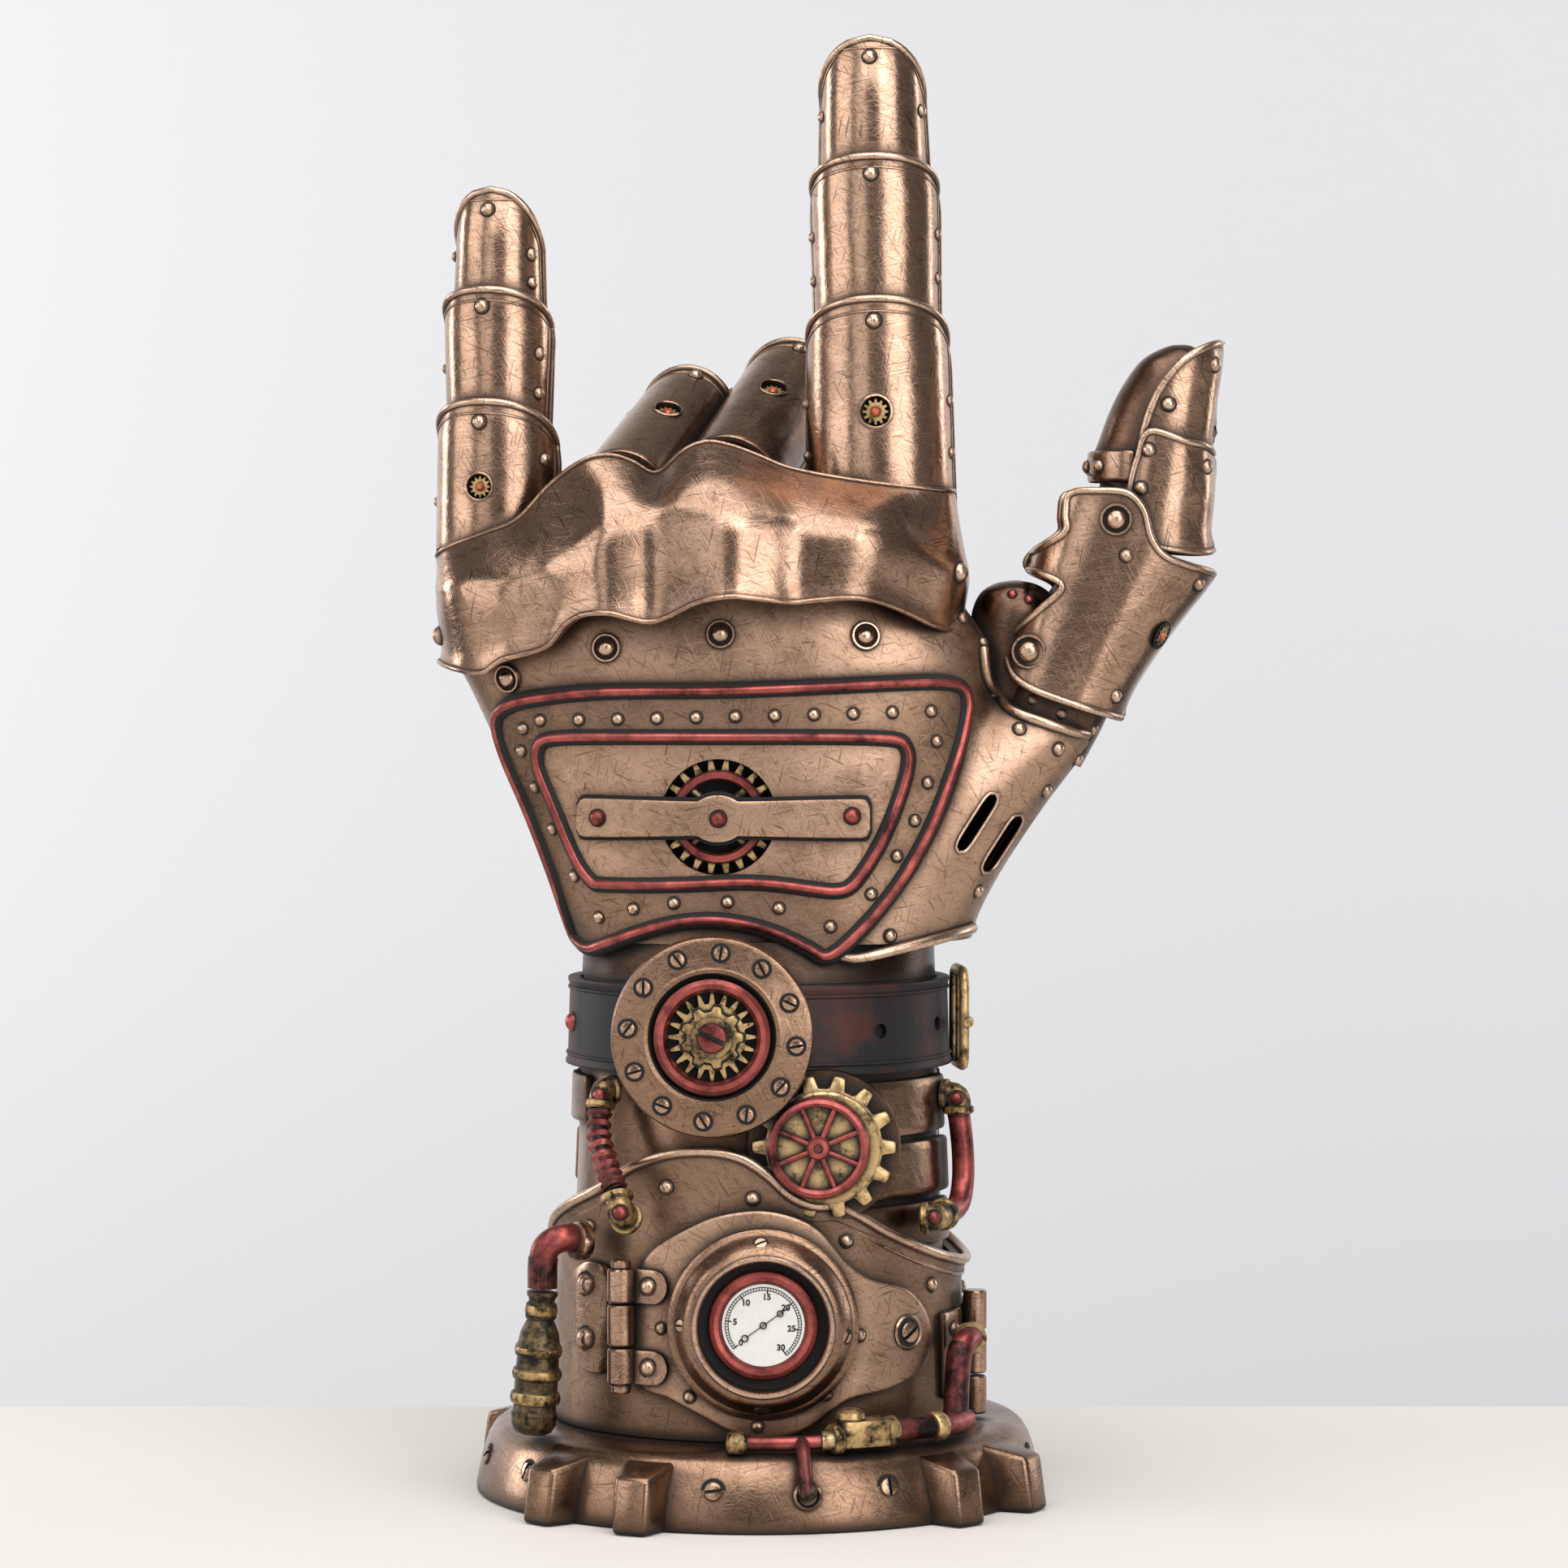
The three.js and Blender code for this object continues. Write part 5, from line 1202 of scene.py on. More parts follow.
def backOfHand(tree):
    window = middleOf("window_gear")
    lift = {"plate": 1.2, "bar": 2.5}  # how far each stands off the hand
    outline = smoothOutline(backEdge)
    plate = drapedPlate(outline, (window.x + 2, window.z, 0), onHandWith(tree, lift["plate"]), 290, 30)
    faceAlong(plate, towardsViewer)
    wall(plate, 1.8, 0.3)
    plateTree = treeOf(plate)
    cutAway(plate, cylinder(9.4, 60, (window.x, -20, window.z), columns=64))
    painted(plate, mattBronze).data.materials.append(deepMattBronze)
    for face in plate.data.polygons:
        face.material_index = 0 if isInside(panelEdge, face.center.x, face.center.z) else 1
    parts = [plate]
    places = [
        (-38.3, 126.4), (-38.6, 122.7), (-36.4, 116.8), (-33.5, 110), (-29.9, 102.4), (-25.9, 95.7), (-20.2, 97.3),
        (-13.6, 98.4), (-4.9, 98.6), (3.4, 97.6), (11.7, 94.6), (18.3, 99.8), (22.5, 105.9), (25.4, 111.6),
        (27.5, 117.7), (29, 124.4),
    ]
    places += [(28.1 - 6.35 * i, 129.3 - 0.15 * i) for i in range(11)]
    parts += studded(plateTree, places, 0.95)
    finishPiece("back_plate_cast", parts)

    def beading(name, edge, rise):
        path = smoothOutline(edge)
        parts = []
        # under each red bead a wider near-black rod, set lower: black wash and painted shade along both sides of the
        # bead
        for raised, radius, finish in ((rise, 0.8, copperRed), (rise - 0.85, 1.45, blackWashAndShade)):
            surface = onHandWith(tree, raised)
            points = [surface(p.x, p.y) for p in path]
            for _ in range(2):
                points = [
                    (points[i - 1] + points[i] * 2 + points[(i + 1) % len(points)]) / 4 for i in range(len(points))
                ]
            parts.append(painted(rod(points, radius, closed=True, sides=4), finish))
        finishPiece(name, parts)

    beading("outer_piping_painted", backEdge, lift["plate"] + 0.35)
    beading("inner_piping_painted", panelEdge, lift["plate"] + 0.35)

    spot = Vector((window.x, cornersOf("window_gear")[0].y + 1.4, window.z))
    gear = painted(
        gearWheel(22, 7.4, 9.3, 6.0, 1.2, spot + Vector((0, -0.5, 0)), edge=0.12, crest=0.13), windowBrass
    )
    ring = [(6.1, 0), (7.4, 0), (7.6, 0.9), (7.3, 1.4), (6.3, 1.4), (6.0, 0.9), (6.1, 0)]
    red = painted(turned(ring, spot, columns=64), copperRed)
    hub = painted(turned([(0, -1), (2.6, -1), (2.6, 0.8), (0, 0.8)], spot, columns=24), brass)
    spokes = []
    for i in range(4):
        angle = math.radians(90 * i + 45)
        aim = Vector((math.cos(angle), 0, math.sin(angle)))
        spokes.append(painted(rod([spot + aim * 2, spot + aim * 6.5], 0.7, sides=2), brass))
    # painted shade: a near-black disc at the bottom of the window behind the gear
    cup = painted(turned([(0, -2.6), (9.5, -2.6), (9.5, -3.4), (0, -3.4)], spot, columns=48), blackWashAndShade)
    finishPiece("window_gear_cast", [gear, red, hub, cup, *spokes])

    barSurface = onHandWith(tree, lift["bar"])

    def barFace(u, v):
        x = mix(-28.4, 17.7, u)
        end = min(1, min(u, 1 - u) / 0.03)
        half = 3.0 * (0.55 + 0.45 * math.sqrt(1 - (1 - end) ** 2))
        half = max(half, 4.1 * math.sqrt(max(0, 1 - ((x - window.x) / 4.6) ** 2)) if abs(x - window.x) < 4.6 else 0)
        half *= 1 - 0.06 * math.cos(math.tau * (x - window.x) / 46)
        return barSurface(x, window.z - 0.2 + half * (2 * v - 1))

    shadeSurface = onHandWith(tree, lift["plate"] + 0.12)

    def barShade(u, v):
        # painted shadow: a dark strip round the foot of the bar
        side = 0.55 * math.copysign(1, v - 0.5)
        return shadeSurface(mix(-28.9, 18.2, u), barFace(u, v).z + side)

    barShadow = painted(wall(shapedGrid("barShadow", 90, 8, barShade), 0.2, 0), blackWashAndShade)
    bar = painted(wall(shapedGrid("bar", 90, 8, barFace), 2.0, 0.5), mattBronze)
    barTree = treeOf(bar)
    parts = [bar, barShadow]
    parts += studded(
        barTree, [(-26, window.z - 0.2), (window.x, window.z - 0.2), (15.2, window.z + 0.2)], 1.25,
        material=copperRed,
    )
    finishPiece("window_bar_cast", parts)


def finishHand(hand, tree):
    window = middleOf("window_gear")
    wrist = 91.6  # the hand is cut off level here
    editAll(hand, lambda: bpy.ops.mesh.bisect(plane_co=(0, 0, wrist), plane_no=(0, 0, 1), clear_inner=True))
    wall(hand, 2.6, 0)
    cutAway(hand, cylinder(9.4, 40, (window.x, -24, window.z), columns=64))
    rims, nearHand = [], onHandWith(tree, 0.05)
    slots = {"at": ((35.6, 111.1), (39.9, 107.4)), "tilt": 33, "size": (2.1, 30, 11.4), "run": 5.7, "half": 1.2}
    lean = math.radians(slots["tilt"])
    for x, z in slots["at"]:
        for side in (-1, 1):
            edge = []
            for i in range(21):
                run = slots["run"] * (i / 10 - 1)
                across = side * slots["half"] * (1 - abs(run / slots["run"]) ** 6) ** 0.5
                edge.append(
                    nearHand(
                        x + run * math.sin(lean) + across * math.cos(lean),
                        z + run * math.cos(lean) - across * math.sin(lean),
                    ),
                )
            rims.append(painted(rod(edge, 0.3, sides=2), brightBronze))
        cutAway(hand, block(slots["size"], (x, -16, z), slots["tilt"], edge=0.95, segments=5))
    parts = [painted(hand, mattBronze), *rims]

    # Rolled edges of the thumb-side plate, below at the wrist and above at the thumb.
    surface = onHandWith(tree, 0.35)
    lower = smoothPath([(12.6, 90.2, 0), (15.9, 89.4, 0), (23.2, 90.9, 0), (30, 92.4, 0), (34.9, 93.4, 0)], 8)
    upper = smoothPath([(36.6, 139.4, 0), (37.4, 134.2, 0), (41.2, 129.6, 0), (47, 127.2, 0), (53.6, 125.2, 0)], 8)
    for path in (lower, upper):
        points = [surface(p.x, max(p.y, 92.4)) for p in path]
        points = [Vector((q.x, q.y, p.y)) for p, q in zip(path, points)]
        parts.append(painted(rod(points, 0.95, sides=4), brightBronze))
    places = [
        (42.7, 126.3), (38.6, 132.0), (49.2, 122.9), (52.6, 121.0), (36.9, 140.2), (36.0, 146.5), (21.4, 92.9),
        (51, 113.5), (36, 99.6),
    ]
    parts += studded(tree, places, 1.05)
    parts += studded(tree, [(-24.6, 139.6), (-6.1, 141.8), (17.4, 141.5), (-40.8, 134.6)], 2.2, kind="washer")
    finishPiece("hand_shell_cast", parts)


def palmPlate():
    low, high = cornersOf("palm_plate")

    def face(u, v):
        x = mix(low.x, high.x, u)
        z = mix(low.z, high.z, v)
        point, _, _, _ = handTree.ray_cast(Vector((x, 120, z)), towardsViewer)
        return (point or Vector((x, 20, z))) + Vector((0, 1.2, 0))

    outline = [Vector((softPower(math.cos(a), 3.4), softPower(math.sin(a), 3.4), 0)) for a in turnIn(120)]

    def place(u, v):
        edge = along(outline, u, closed=True)
        return face(0.5 + 0.5 * v * edge.x, 0.5 + 0.5 * v * edge.y)

    skin = shapedGrid("palmPlate", 120, 14, place, closed=True)
    faceAlong(skin, -towardsViewer)
    tree = treeOf(skin)
    border = [place(i / 120, 1) for i in range(120)]
    parts = [painted(wall(skin, 1.4, 0.4), bronze), painted(rod(border, 0.85, closed=True), brightBronze)]
    parts += [rivetNear(tree, place(i / 18, 0.88), 1.0) for i in range(18)]
    finishPiece("palm_plate_cast", parts)


def knuckleGuard():
    look = {
        "top": [
            (-55, 152.5), (-51.9, 155.5), (-45.8, 158), (-39.7, 160.6), (-34.2, 166.4), (-28.8, 170.2),
            (-24.4, 170.9), (-20.8, 169.8), (-16.9, 168), (-12.4, 171.6), (-8.6, 173.1), (-4.4, 172.5),
            (-0.2, 171.1), (5.9, 168.8), (18.1, 166.7), (30.3, 165.5), (36, 165.2),
        ],
        "ridge": [
            (-55, 148), (-46, 150), (-40, 151), (-34.1, 153), (-27.5, 157.8), (-24.5, 159.9), (-18, 161.3),
            (-12, 162.5), (-6, 162.6), (-1.9, 161.9), (5.9, 160.4), (16.7, 159), (23.8, 157.4), (29.8, 153.6),
            (36, 152),
        ],
        "low": [
            (-55, 138), (-50, 136.2), (-44.8, 135.7), (-41.8, 137.6), (-34.1, 139.9), (-31.1, 143.4), (-28.1, 145),
            (-23.8, 145.2), (-20.3, 144.3), (-17.3, 143.8), (-14.4, 144.7), (-9.6, 147), (-4.2, 147.9),
            (-0.1, 147.6), (5.9, 147), (9.5, 147.3), (14.8, 147.7), (19, 147.3), (23.8, 145.6), (29.1, 143.1),
            (36, 141.5),
        ],
        "wave": [
            (-55, 0.4), (-48, 1.1), (-42, 1.3), (-37.5, 0.7), (-33.7, 0.3), (-30, 1.0), (-25.2, 2.4), (-20.5, 1.8),
            (-16.8, 1.2), (-12, 2.3), (-4.4, 4.0), (2, 3.0), (6.5, 1.9), (11, 2.6), (17.7, 3.6), (24, 2.5),
            (30, 0.9), (36, 0.2),
        ],
        "middle": -9.2,
    }

    def place(u, v):
        angle = math.radians(mix(-106, 102, u))
        side = softPower(math.sin(angle), 2.35)
        front = softPower(math.cos(angle), mix(2.35, 4.4, v))
        x = look["middle"] + 43.8 * side
        wave = keyed(look["wave"], x)
        low, ridge, top = (keyed(look[name], x) for name in ("low", "ridge", "top"))
        heights = (low, mix(low, ridge, 0.25), mix(low, ridge, 0.7), mix(low, ridge, 0.93), mix(ridge, top, 0.12),
                   mix(ridge, top, 0.5), top)
        depths = (
            24.7 + 1.2 * wave, 24.1 + 1.2 * wave, 24.0 + 1.1 * wave, 23.4 + wave, 21.9 + 0.95 * wave,
            18.4 + 0.7 * wave, 13.6,
        )
        left = max(0, -side)  # the little finger's end rises further out
        halves = (43.6, 43.2, 43.9, 44.0, 43.6 + 0.5 * left, 42.6 + 1.3 * left, 41.6 + 2.3 * left)
        profile = smoothPath(list(zip(heights, depths, halves)), 5)
        height, depth, half = along(profile, v)
        return Vector((look["middle"] + half * side, -depth * front, height))

    columns = 170
    skin = shapedGrid("guard", columns, 30, place)
    faceAlong(skin, towardsViewer)
    tree = treeOf(skin)
    lower, upper = ([place(i / columns, v) for i in range(columns + 1)] for v in (0, 1))
    ends = [[place(side, i / 24) for i in range(25)] for side in (0, 1)]
    parts = [painted(wall(skin, 1.7, 0.3), bronze)]
    parts.append(painted(rod(lower, 0.5), bronze))
    parts.append(painted(rod(upper, 0.4), bronze))
    parts += [painted(rod(end, 0.55), bronze) for end in ends]
    parts += [rivetNear(tree, spot, 1.6) for spot in ((33.9, -12.5, 151.8), (-52.6, -4.5, 141.4))]
    finishPiece("knuckle_guard_cast", parts)


def boneFrame(start, end, turn=0.0):
    start, end = Vector(start), Vector(end)
    aim = up.rotation_difference((end - start).normalized()).to_matrix().to_4x4()
    return Matrix.Translation(start) @ aim @ Matrix.Rotation(math.radians(turn), 4, "Z"), (end - start).length


def fingerPlate(placeIn, look):
    # a plate round the back of one finger bone, with a rolled rim on its arched top and its sides
    def point(u, v):
        degrees = look["wrap"] * (2 * u - 1)
        top = look["length"] - look["arch"] * abs(degrees / look["wrap"]) ** 2.2
        z = mix(look.get("start", 0) - look.get("skirt", 0) * ramp(abs(degrees), 62, 96), top, v)
        share = min(1, max(0, z / look["length"]))
        radius = mix(look["low"], look["high"], share) - 0.25 * ramp(v, 0.85, 1)
        angle = math.radians(degrees)
        return placeIn @ Vector((radius * math.sin(angle), -radius * look["depth"] * math.cos(angle), z))

    return plateWithRims(point, look)


def tipPlate(placeIn, look):
    # the last plate: a curved nail shape whose sides draw in to a round end
    def point(u, v):
        rounding = max(0, (v - look["blunt"]) / (1 - look["blunt"]))
        reach = math.asin(math.sqrt(max(0, 1 - rounding ** 2.1))) / (math.pi / 2)
        angle = math.radians(look["wrap"] * reach) * (2 * u - 1)
        radius = look["low"] * (1 - 0.1 * v)
        back = look.get("lean", 1.6) * rounding ** 2
        return placeIn @ Vector(
            (radius * math.sin(angle), -radius * look["depth"] * math.cos(angle) + back, look["length"] * v)
        )

    return plateWithRims(point, look)


def plateWithRims(point, look):
    columns, rows = 40, 30
    skin = shapedGrid("plate", columns, rows, point)
    editAll(skin, weld)
    tree = treeOf(skin)
    rimSize = look.get("rim", 0.62)
    shoulder = look.get("blunt", 0.96)
    climb = [mix(shoulder, 1, i / 14) for i in range(14)]
    arch = [point(0, v) for v in climb] + [point(i / columns, 1) for i in range(columns + 1)]
    arch += [point(1, v) for v in reversed(climb)]
    sides = [[point(u, shoulder * i / rows) for i in range(rows + 1)] for u in (0, 1)]
    rims = [painted(rod(arch, rimSize, sides=3), brightBronze)]
    # painted shade: the side rims take the darker aged bronze, while the arched top keeps the bright edge bronze
    rims += [painted(rod(side, rimSize, sides=3), agedBronze) for side in sides]
    inset = [point(0.07, i / rows) for i in range(3, rows - 1)]
    inset += [point(0.07 + 0.86 * i / columns, 1 - 1.8 / look["length"]) for i in range(columns + 1)]
    inset += [point(0.93, 1 - i / rows) for i in range(2, rows - 2)]
    line = painted(rod(inset, 0.2, sides=1), bronze)
    fasteners = [rivetNear(tree, point(u, v), size) for u, v, size in look["rivets"]]
    painted(wall(skin, look.get("thickness", 1.1), 0.2), bronze)
    if "window" in look:
        u, v, size = look["window"]
        found, normal, _, _ = tree.find_nearest(point(u, v))
        cutAway(skin, cylinder(size, 2.6, found, normal, 32))
        painted(skin, bronze)
        base = found - normal * 0.9
        # painted shade: a near-black disc at the bottom of the window under the gear
        fasteners.append(
            painted(
                turned([(0, -0.9), (size + 0.2, -0.9), (size + 0.2, -1.3), (0, -1.3)], base, normal, 24), blackWashAndShade
            ),
        )
        fasteners.append(
            painted(
                gearWheel(12, size * 0.62, size * 0.86, 0.3, 0.6, base + normal * 0.2, 0.08, normal), windowBrass
            ),
        )
        dome = [(0, 0), (size * 0.34, 0), (size * 0.34, 0.4), (size * 0.2, 0.75), (0, 0.8)]
        fasteners.append(painted(turned(dome, base, normal, 16), orangeRed))
        edge = [
            (size + 0.35, -0.1), (size + 0.35, 0.12), (size + 0.1, 0.22), (size - 0.05, 0.1),
            (size - 0.05, -0.1), (size + 0.35, -0.1),
        ]
        fasteners.append(painted(turned(edge, found, normal, 32), bronze))
    return [skin, *rims, line, *fasteners]


def softFinger(placeIn, stations, depth=0.94, shift=1.0):
    # the inside of a finger: stations are (height, radius), closed at both ends
    heights = smoothPath([(z, r, 0) for z, r in stations], 6)
    last = len(heights) - 1

    def place(u, v):
        z, radius, _ = heights[round(v * last)]
        angle = math.tau * u - math.pi
        y = -radius * depth * math.cos(angle)
        return placeIn @ Vector((radius * math.sin(angle), y + shift if y > 0 else y, z))

    body = shapedGrid("finger", 40, last, place, closed=True)
    editAll(body, closeEnds, faceOut)
    return smooth(body, 50)


def sideRivets(rows, size=0.9):
    return [(u, v, size) for v in rows for u in (0.1, 0.9)]


def raisedFingers():
    fingers = {
        "index": {
            "root": (20.2, -0.6, 165.2),
            "tip": (18.6, 0.6, 239.4),
            "turn": -4,
            "plates": [
                {
                    "start": -5, "length": 31.2, "low": 12.1, "high": 11.6, "arch": 7.4,
                    "rivets": [(0.5, 0.9, 1.2), *sideRivets((0.35, 0.62))], "window": (0.5, 0.49, 2.5),
                },
                {
                    "length": 28.4, "low": 10.2, "high": 10.6, "arch": 5.6,
                    "rivets": [(0.5, 0.9, 1.15), *sideRivets((0.35, 0.64))],
                },
                {"low": 9.0, "blunt": 0.6, "rivets": [(0.5, 0.87, 1.1), (0.86, 0.52, 1.0), (0.12, 0.5, 0.9)]},
            ],
            "overlap": 5.1,
        },
        "little": {
            "root": (-43.2, -0.6, 156.8),
            "tip": (-42.8, 0.8, 214.7),
            "turn": -16,
            "plates": [
                {
                    "start": -1.2, "skirt": 5, "length": 22.8, "low": 10.2, "high": 10.0, "arch": 6.6,
                    "rivets": [(0.5, 0.86, 1.15), (0.84, 0.7, 1.05), (0.08, 0.5, 0.9)],
                    "window": (0.5, 0.42, 2.1),
                },
                {
                    "length": 23.0, "low": 8.5, "high": 9.2, "arch": 5.6,
                    "rivets": [(0.5, 0.88, 1.15), (0.84, 0.62, 1.05), (0.84, 0.3, 1.0), (0.08, 0.55, 0.9)],
                },
                {
                    "low": 7.6, "blunt": 0.56,
                    "rivets": [(0.5, 0.84, 1.1), (0.83, 0.5, 1.05), (0.83, 0.28, 1.0), (0.1, 0.5, 0.9)],
                },
            ],
            "overlap": 4.6,
        },
    }
    for name, finger in fingers.items():
        home, total = boneFrame(finger["root"], finger["tip"], finger["turn"])
        start = 0.0
        for i, look in enumerate(finger["plates"]):
            look["wrap"] = 100
            look["depth"] = 0.94
            at = home @ Matrix.Translation((0, 0, start))
            if i < 2:
                parts = fingerPlate(at, look)
                nextStart = start + look["length"] - finger["overlap"]
            else:
                look["length"] = total - start
                parts = tipPlate(at, look)
            finishPiece(f"{name}_plate_{i + 1}_cast", parts)
            if i < 2:
                start = nextStart
        one, two, three = finger["plates"]
        last = total - start
        stations = [
            (-2, one["low"] - 2.4), (one["length"] * 0.8, one["high"] - 2.2), (start, two["high"] - 1.9),
            (start + last * 0.3, three["low"] - 1.3), (start + last * 0.55, three["low"] - 1.6),
            (start + last * 0.8, three["low"] * 0.62), (start + last * 0.93, three["low"] * 0.3),
            (start + last * 0.97, 0.4),
        ]
        core = painted(softFinger(home, stations, shift=1.4), oldBronze)
        parts = [core]
        for z, radius in (
            (one["length"] * 0.42, one["high"]), (start * 0.86, two["high"]), (start + last * 0.16, three["low"])
        ):
            for side in (-1, 1):
                spot = home @ Vector((side * (radius - 2.6), radius * 0.66, z))
                outward = (home.to_3x3() @ Vector((side * 0.6, 1, 0))).normalized()
                parts.append(fastener("rivet", spot, outward, 0.95))
        palmPads(
            parts,
            home,
            [
                (one["length"] * 0.1, one["length"] * 0.8, one["high"] - 2.0),
                (one["length"] * 0.86, start * 0.98, two["high"] - 1.7),
            ],
        )
        finishPiece(f"{name}_core_cast", parts)


def palmPads(parts, home, spans):
    # plain plates on the palm side of a finger
    for low, high, radius in spans:
        def face(u, v):
            angle = math.radians(mix(-62, 62, u))
            return home @ Vector(
                (-(radius + 0.9) * math.sin(angle), (radius * 0.94 + 1.9) * math.cos(angle), mix(low, high, v))
            )

        pad = shapedGrid("pad", 20, 8, face)
        parts.append(painted(wall(pad, 1.2, 0.45), bronze))


def foldedFingers():
    folded = {
        "middle": {
            "joints": [(-3.6, 3, 168.4), (4.6, 25, 181.6), (5, 33.4, 160), (4.6, 29.6, 142)],
            "radii": (8.5, 8.3, 7.8),
        },
        "ring": {
            "joints": [(-21.4, 3, 166), (-13.2, 25, 177.4), (-13, 33, 157), (-13.2, 29.2, 139)],
            "radii": (8.1, 7.9, 7.4),
        },
    }
    for name, finger in folded.items():
        joints, radii = finger["joints"], finger["radii"]
        for i in range(3):
            home, length = boneFrame(joints[i], joints[i + 1])
            radius = radii[i]
            if i == 0:
                stations = [
                    (-4, radius - 1.4), (length * 0.5, radius - 1.2), (length + 1, radius - 1.2),
                    (length + 5.4, radius * 0.66), (length + 7, 1),
                ]
                core = painted(softFinger(home, stations, 1, 0), oldBronze)
                look = {
                    "wrap": 118, "depth": 1.0, "length": length + 5.4, "low": radius, "high": radius, "arch": 5,
                    "start": -3, "rivets": [(0.5, 0.93, 1.1), (0.88, 0.8, 1.0), (0.12, 0.8, 1.0)],
                    "window": (0.5, 0.52, 2.2),
                }
                parts = [core, *fingerPlate(home, look)]
            else:
                backwards = home @ Matrix.Rotation(math.pi, 4, "Z")
                end = radius * 0.55 if i == 2 else radius - 1.4
                stations = [
                    (0, radius - 2.2), (length * 0.5, radius - 1.2), (length * 0.85, radius - 1.4),
                    (length + 1, end), (length + 2.2, end * 0.4),
                ]
                core = painted(softFinger(home, stations, 1, 0), oldBronze)
                parts = [core]
                look = {
                    "wrap": 104, "depth": 1.0, "length": length - (0.6 if i == 1 else 0), "low": radius,
                    "high": radius - 0.3, "arch": 4.4, "start": 1,
                    "rivets": [(0.5, 0.86, 1.1), (0.88, 0.5, 1.0), (0.12, 0.5, 1.0)],
                }
                if i == 1:
                    parts += fingerPlate(backwards, look)
                else:
                    look.update({"length": length + 3, "low": radius, "blunt": 0.35})
                    parts += tipPlate(backwards, look)
            finishPiece(f"{name}_segment_{i + 1}_cast", parts)


def foldedOver(outline, outer, centre, line, columns, rows, depth, thickness=1.2, edge=0.3):
    # a plate on the thumb: its outline seen from the front, laid on a round form about a line, front and back
    # alike, and joined along the outer points of the outline, where the plate turns over
    start, end, halves = line  # halves: half widths of the form on the palm side, low and high
    start, end = Vector((*start, 0)), Vector((*end, 0))
    run = (end - start).normalized()
    side = Vector((run.y, -run.x, 0))
    spots = [Vector((x, z, 0)) - start for x, z in outline[outer[0] : outer[1] + 1]]
    reaches = sorted((spot.dot(run) / (end - start).length, spot.dot(side)) for spot in spots)

    def surface(x, z, lift=0.0):
        spot = Vector((x, z, 0)) - start
        share = spot.dot(run) / (end - start).length
        across = spot.dot(side)
        power = 2 if across > 0 else 3.2
        across = min(1, abs(across) / (keyed(reaches, share) if across > 0 else mix(*halves, share)))
        return Vector((x, -(depth + lift) * (1 - across ** power) ** (1 / power), z))

    dense = smoothOutline(outline)
    frontSkin = drapedPlate(dense, (*centre, 0), surface, columns, rows)
    faceAlong(frontSkin, towardsViewer)
    turnOver = dense[5 * outer[0] : 5 * outer[1] + 1]
    for vertex in frontSkin.data.vertices:
        spot = Vector((vertex.co.x, vertex.co.z, 0))
        for a, b in zip(turnOver, turnOver[1:]):
            share = min(1, max(0, (spot - a).dot(b - a) / (b - a).length_squared))
            if (a.lerp(b, share) - spot).length < 0.02:
                vertex.co.y = 0
    selectOnly(frontSkin)
    bpy.ops.object.duplicate()
    backSkin = bpy.context.object
    backSkin.data.transform(Matrix.Scale(-1, 4, (0, 1, 0)))
    editAll(backSkin, bpy.ops.mesh.flip_normals)
    skin = joined("plate", [frontSkin, backSkin])
    editAll(skin, lambda: bpy.ops.mesh.remove_doubles(threshold=0.05))
    return wall(skin, thickness, edge), surface


def bothFaces(surface, spots, lean, size, kind="rivet"):
    # the same fastener on the front and the back of a thumb plate
    found = []
    for x, z in spots:
        for sign in (1, -1):
            point = surface(x, z)
            point.y *= sign
            found.append(fastener(kind, point, (lean(x), -sign, 0), size))
    return found


def bothRims(edge, radius, sides):
    # the same rolled rim along the front and the back of a thumb plate
    mirrored = ([Vector((p.x, p.y * sign, p.z)) for p in edge] for sign in (1, -1))
    return [painted(rod(rim, radius, sides=sides), brightBronze) for rim in mirrored]


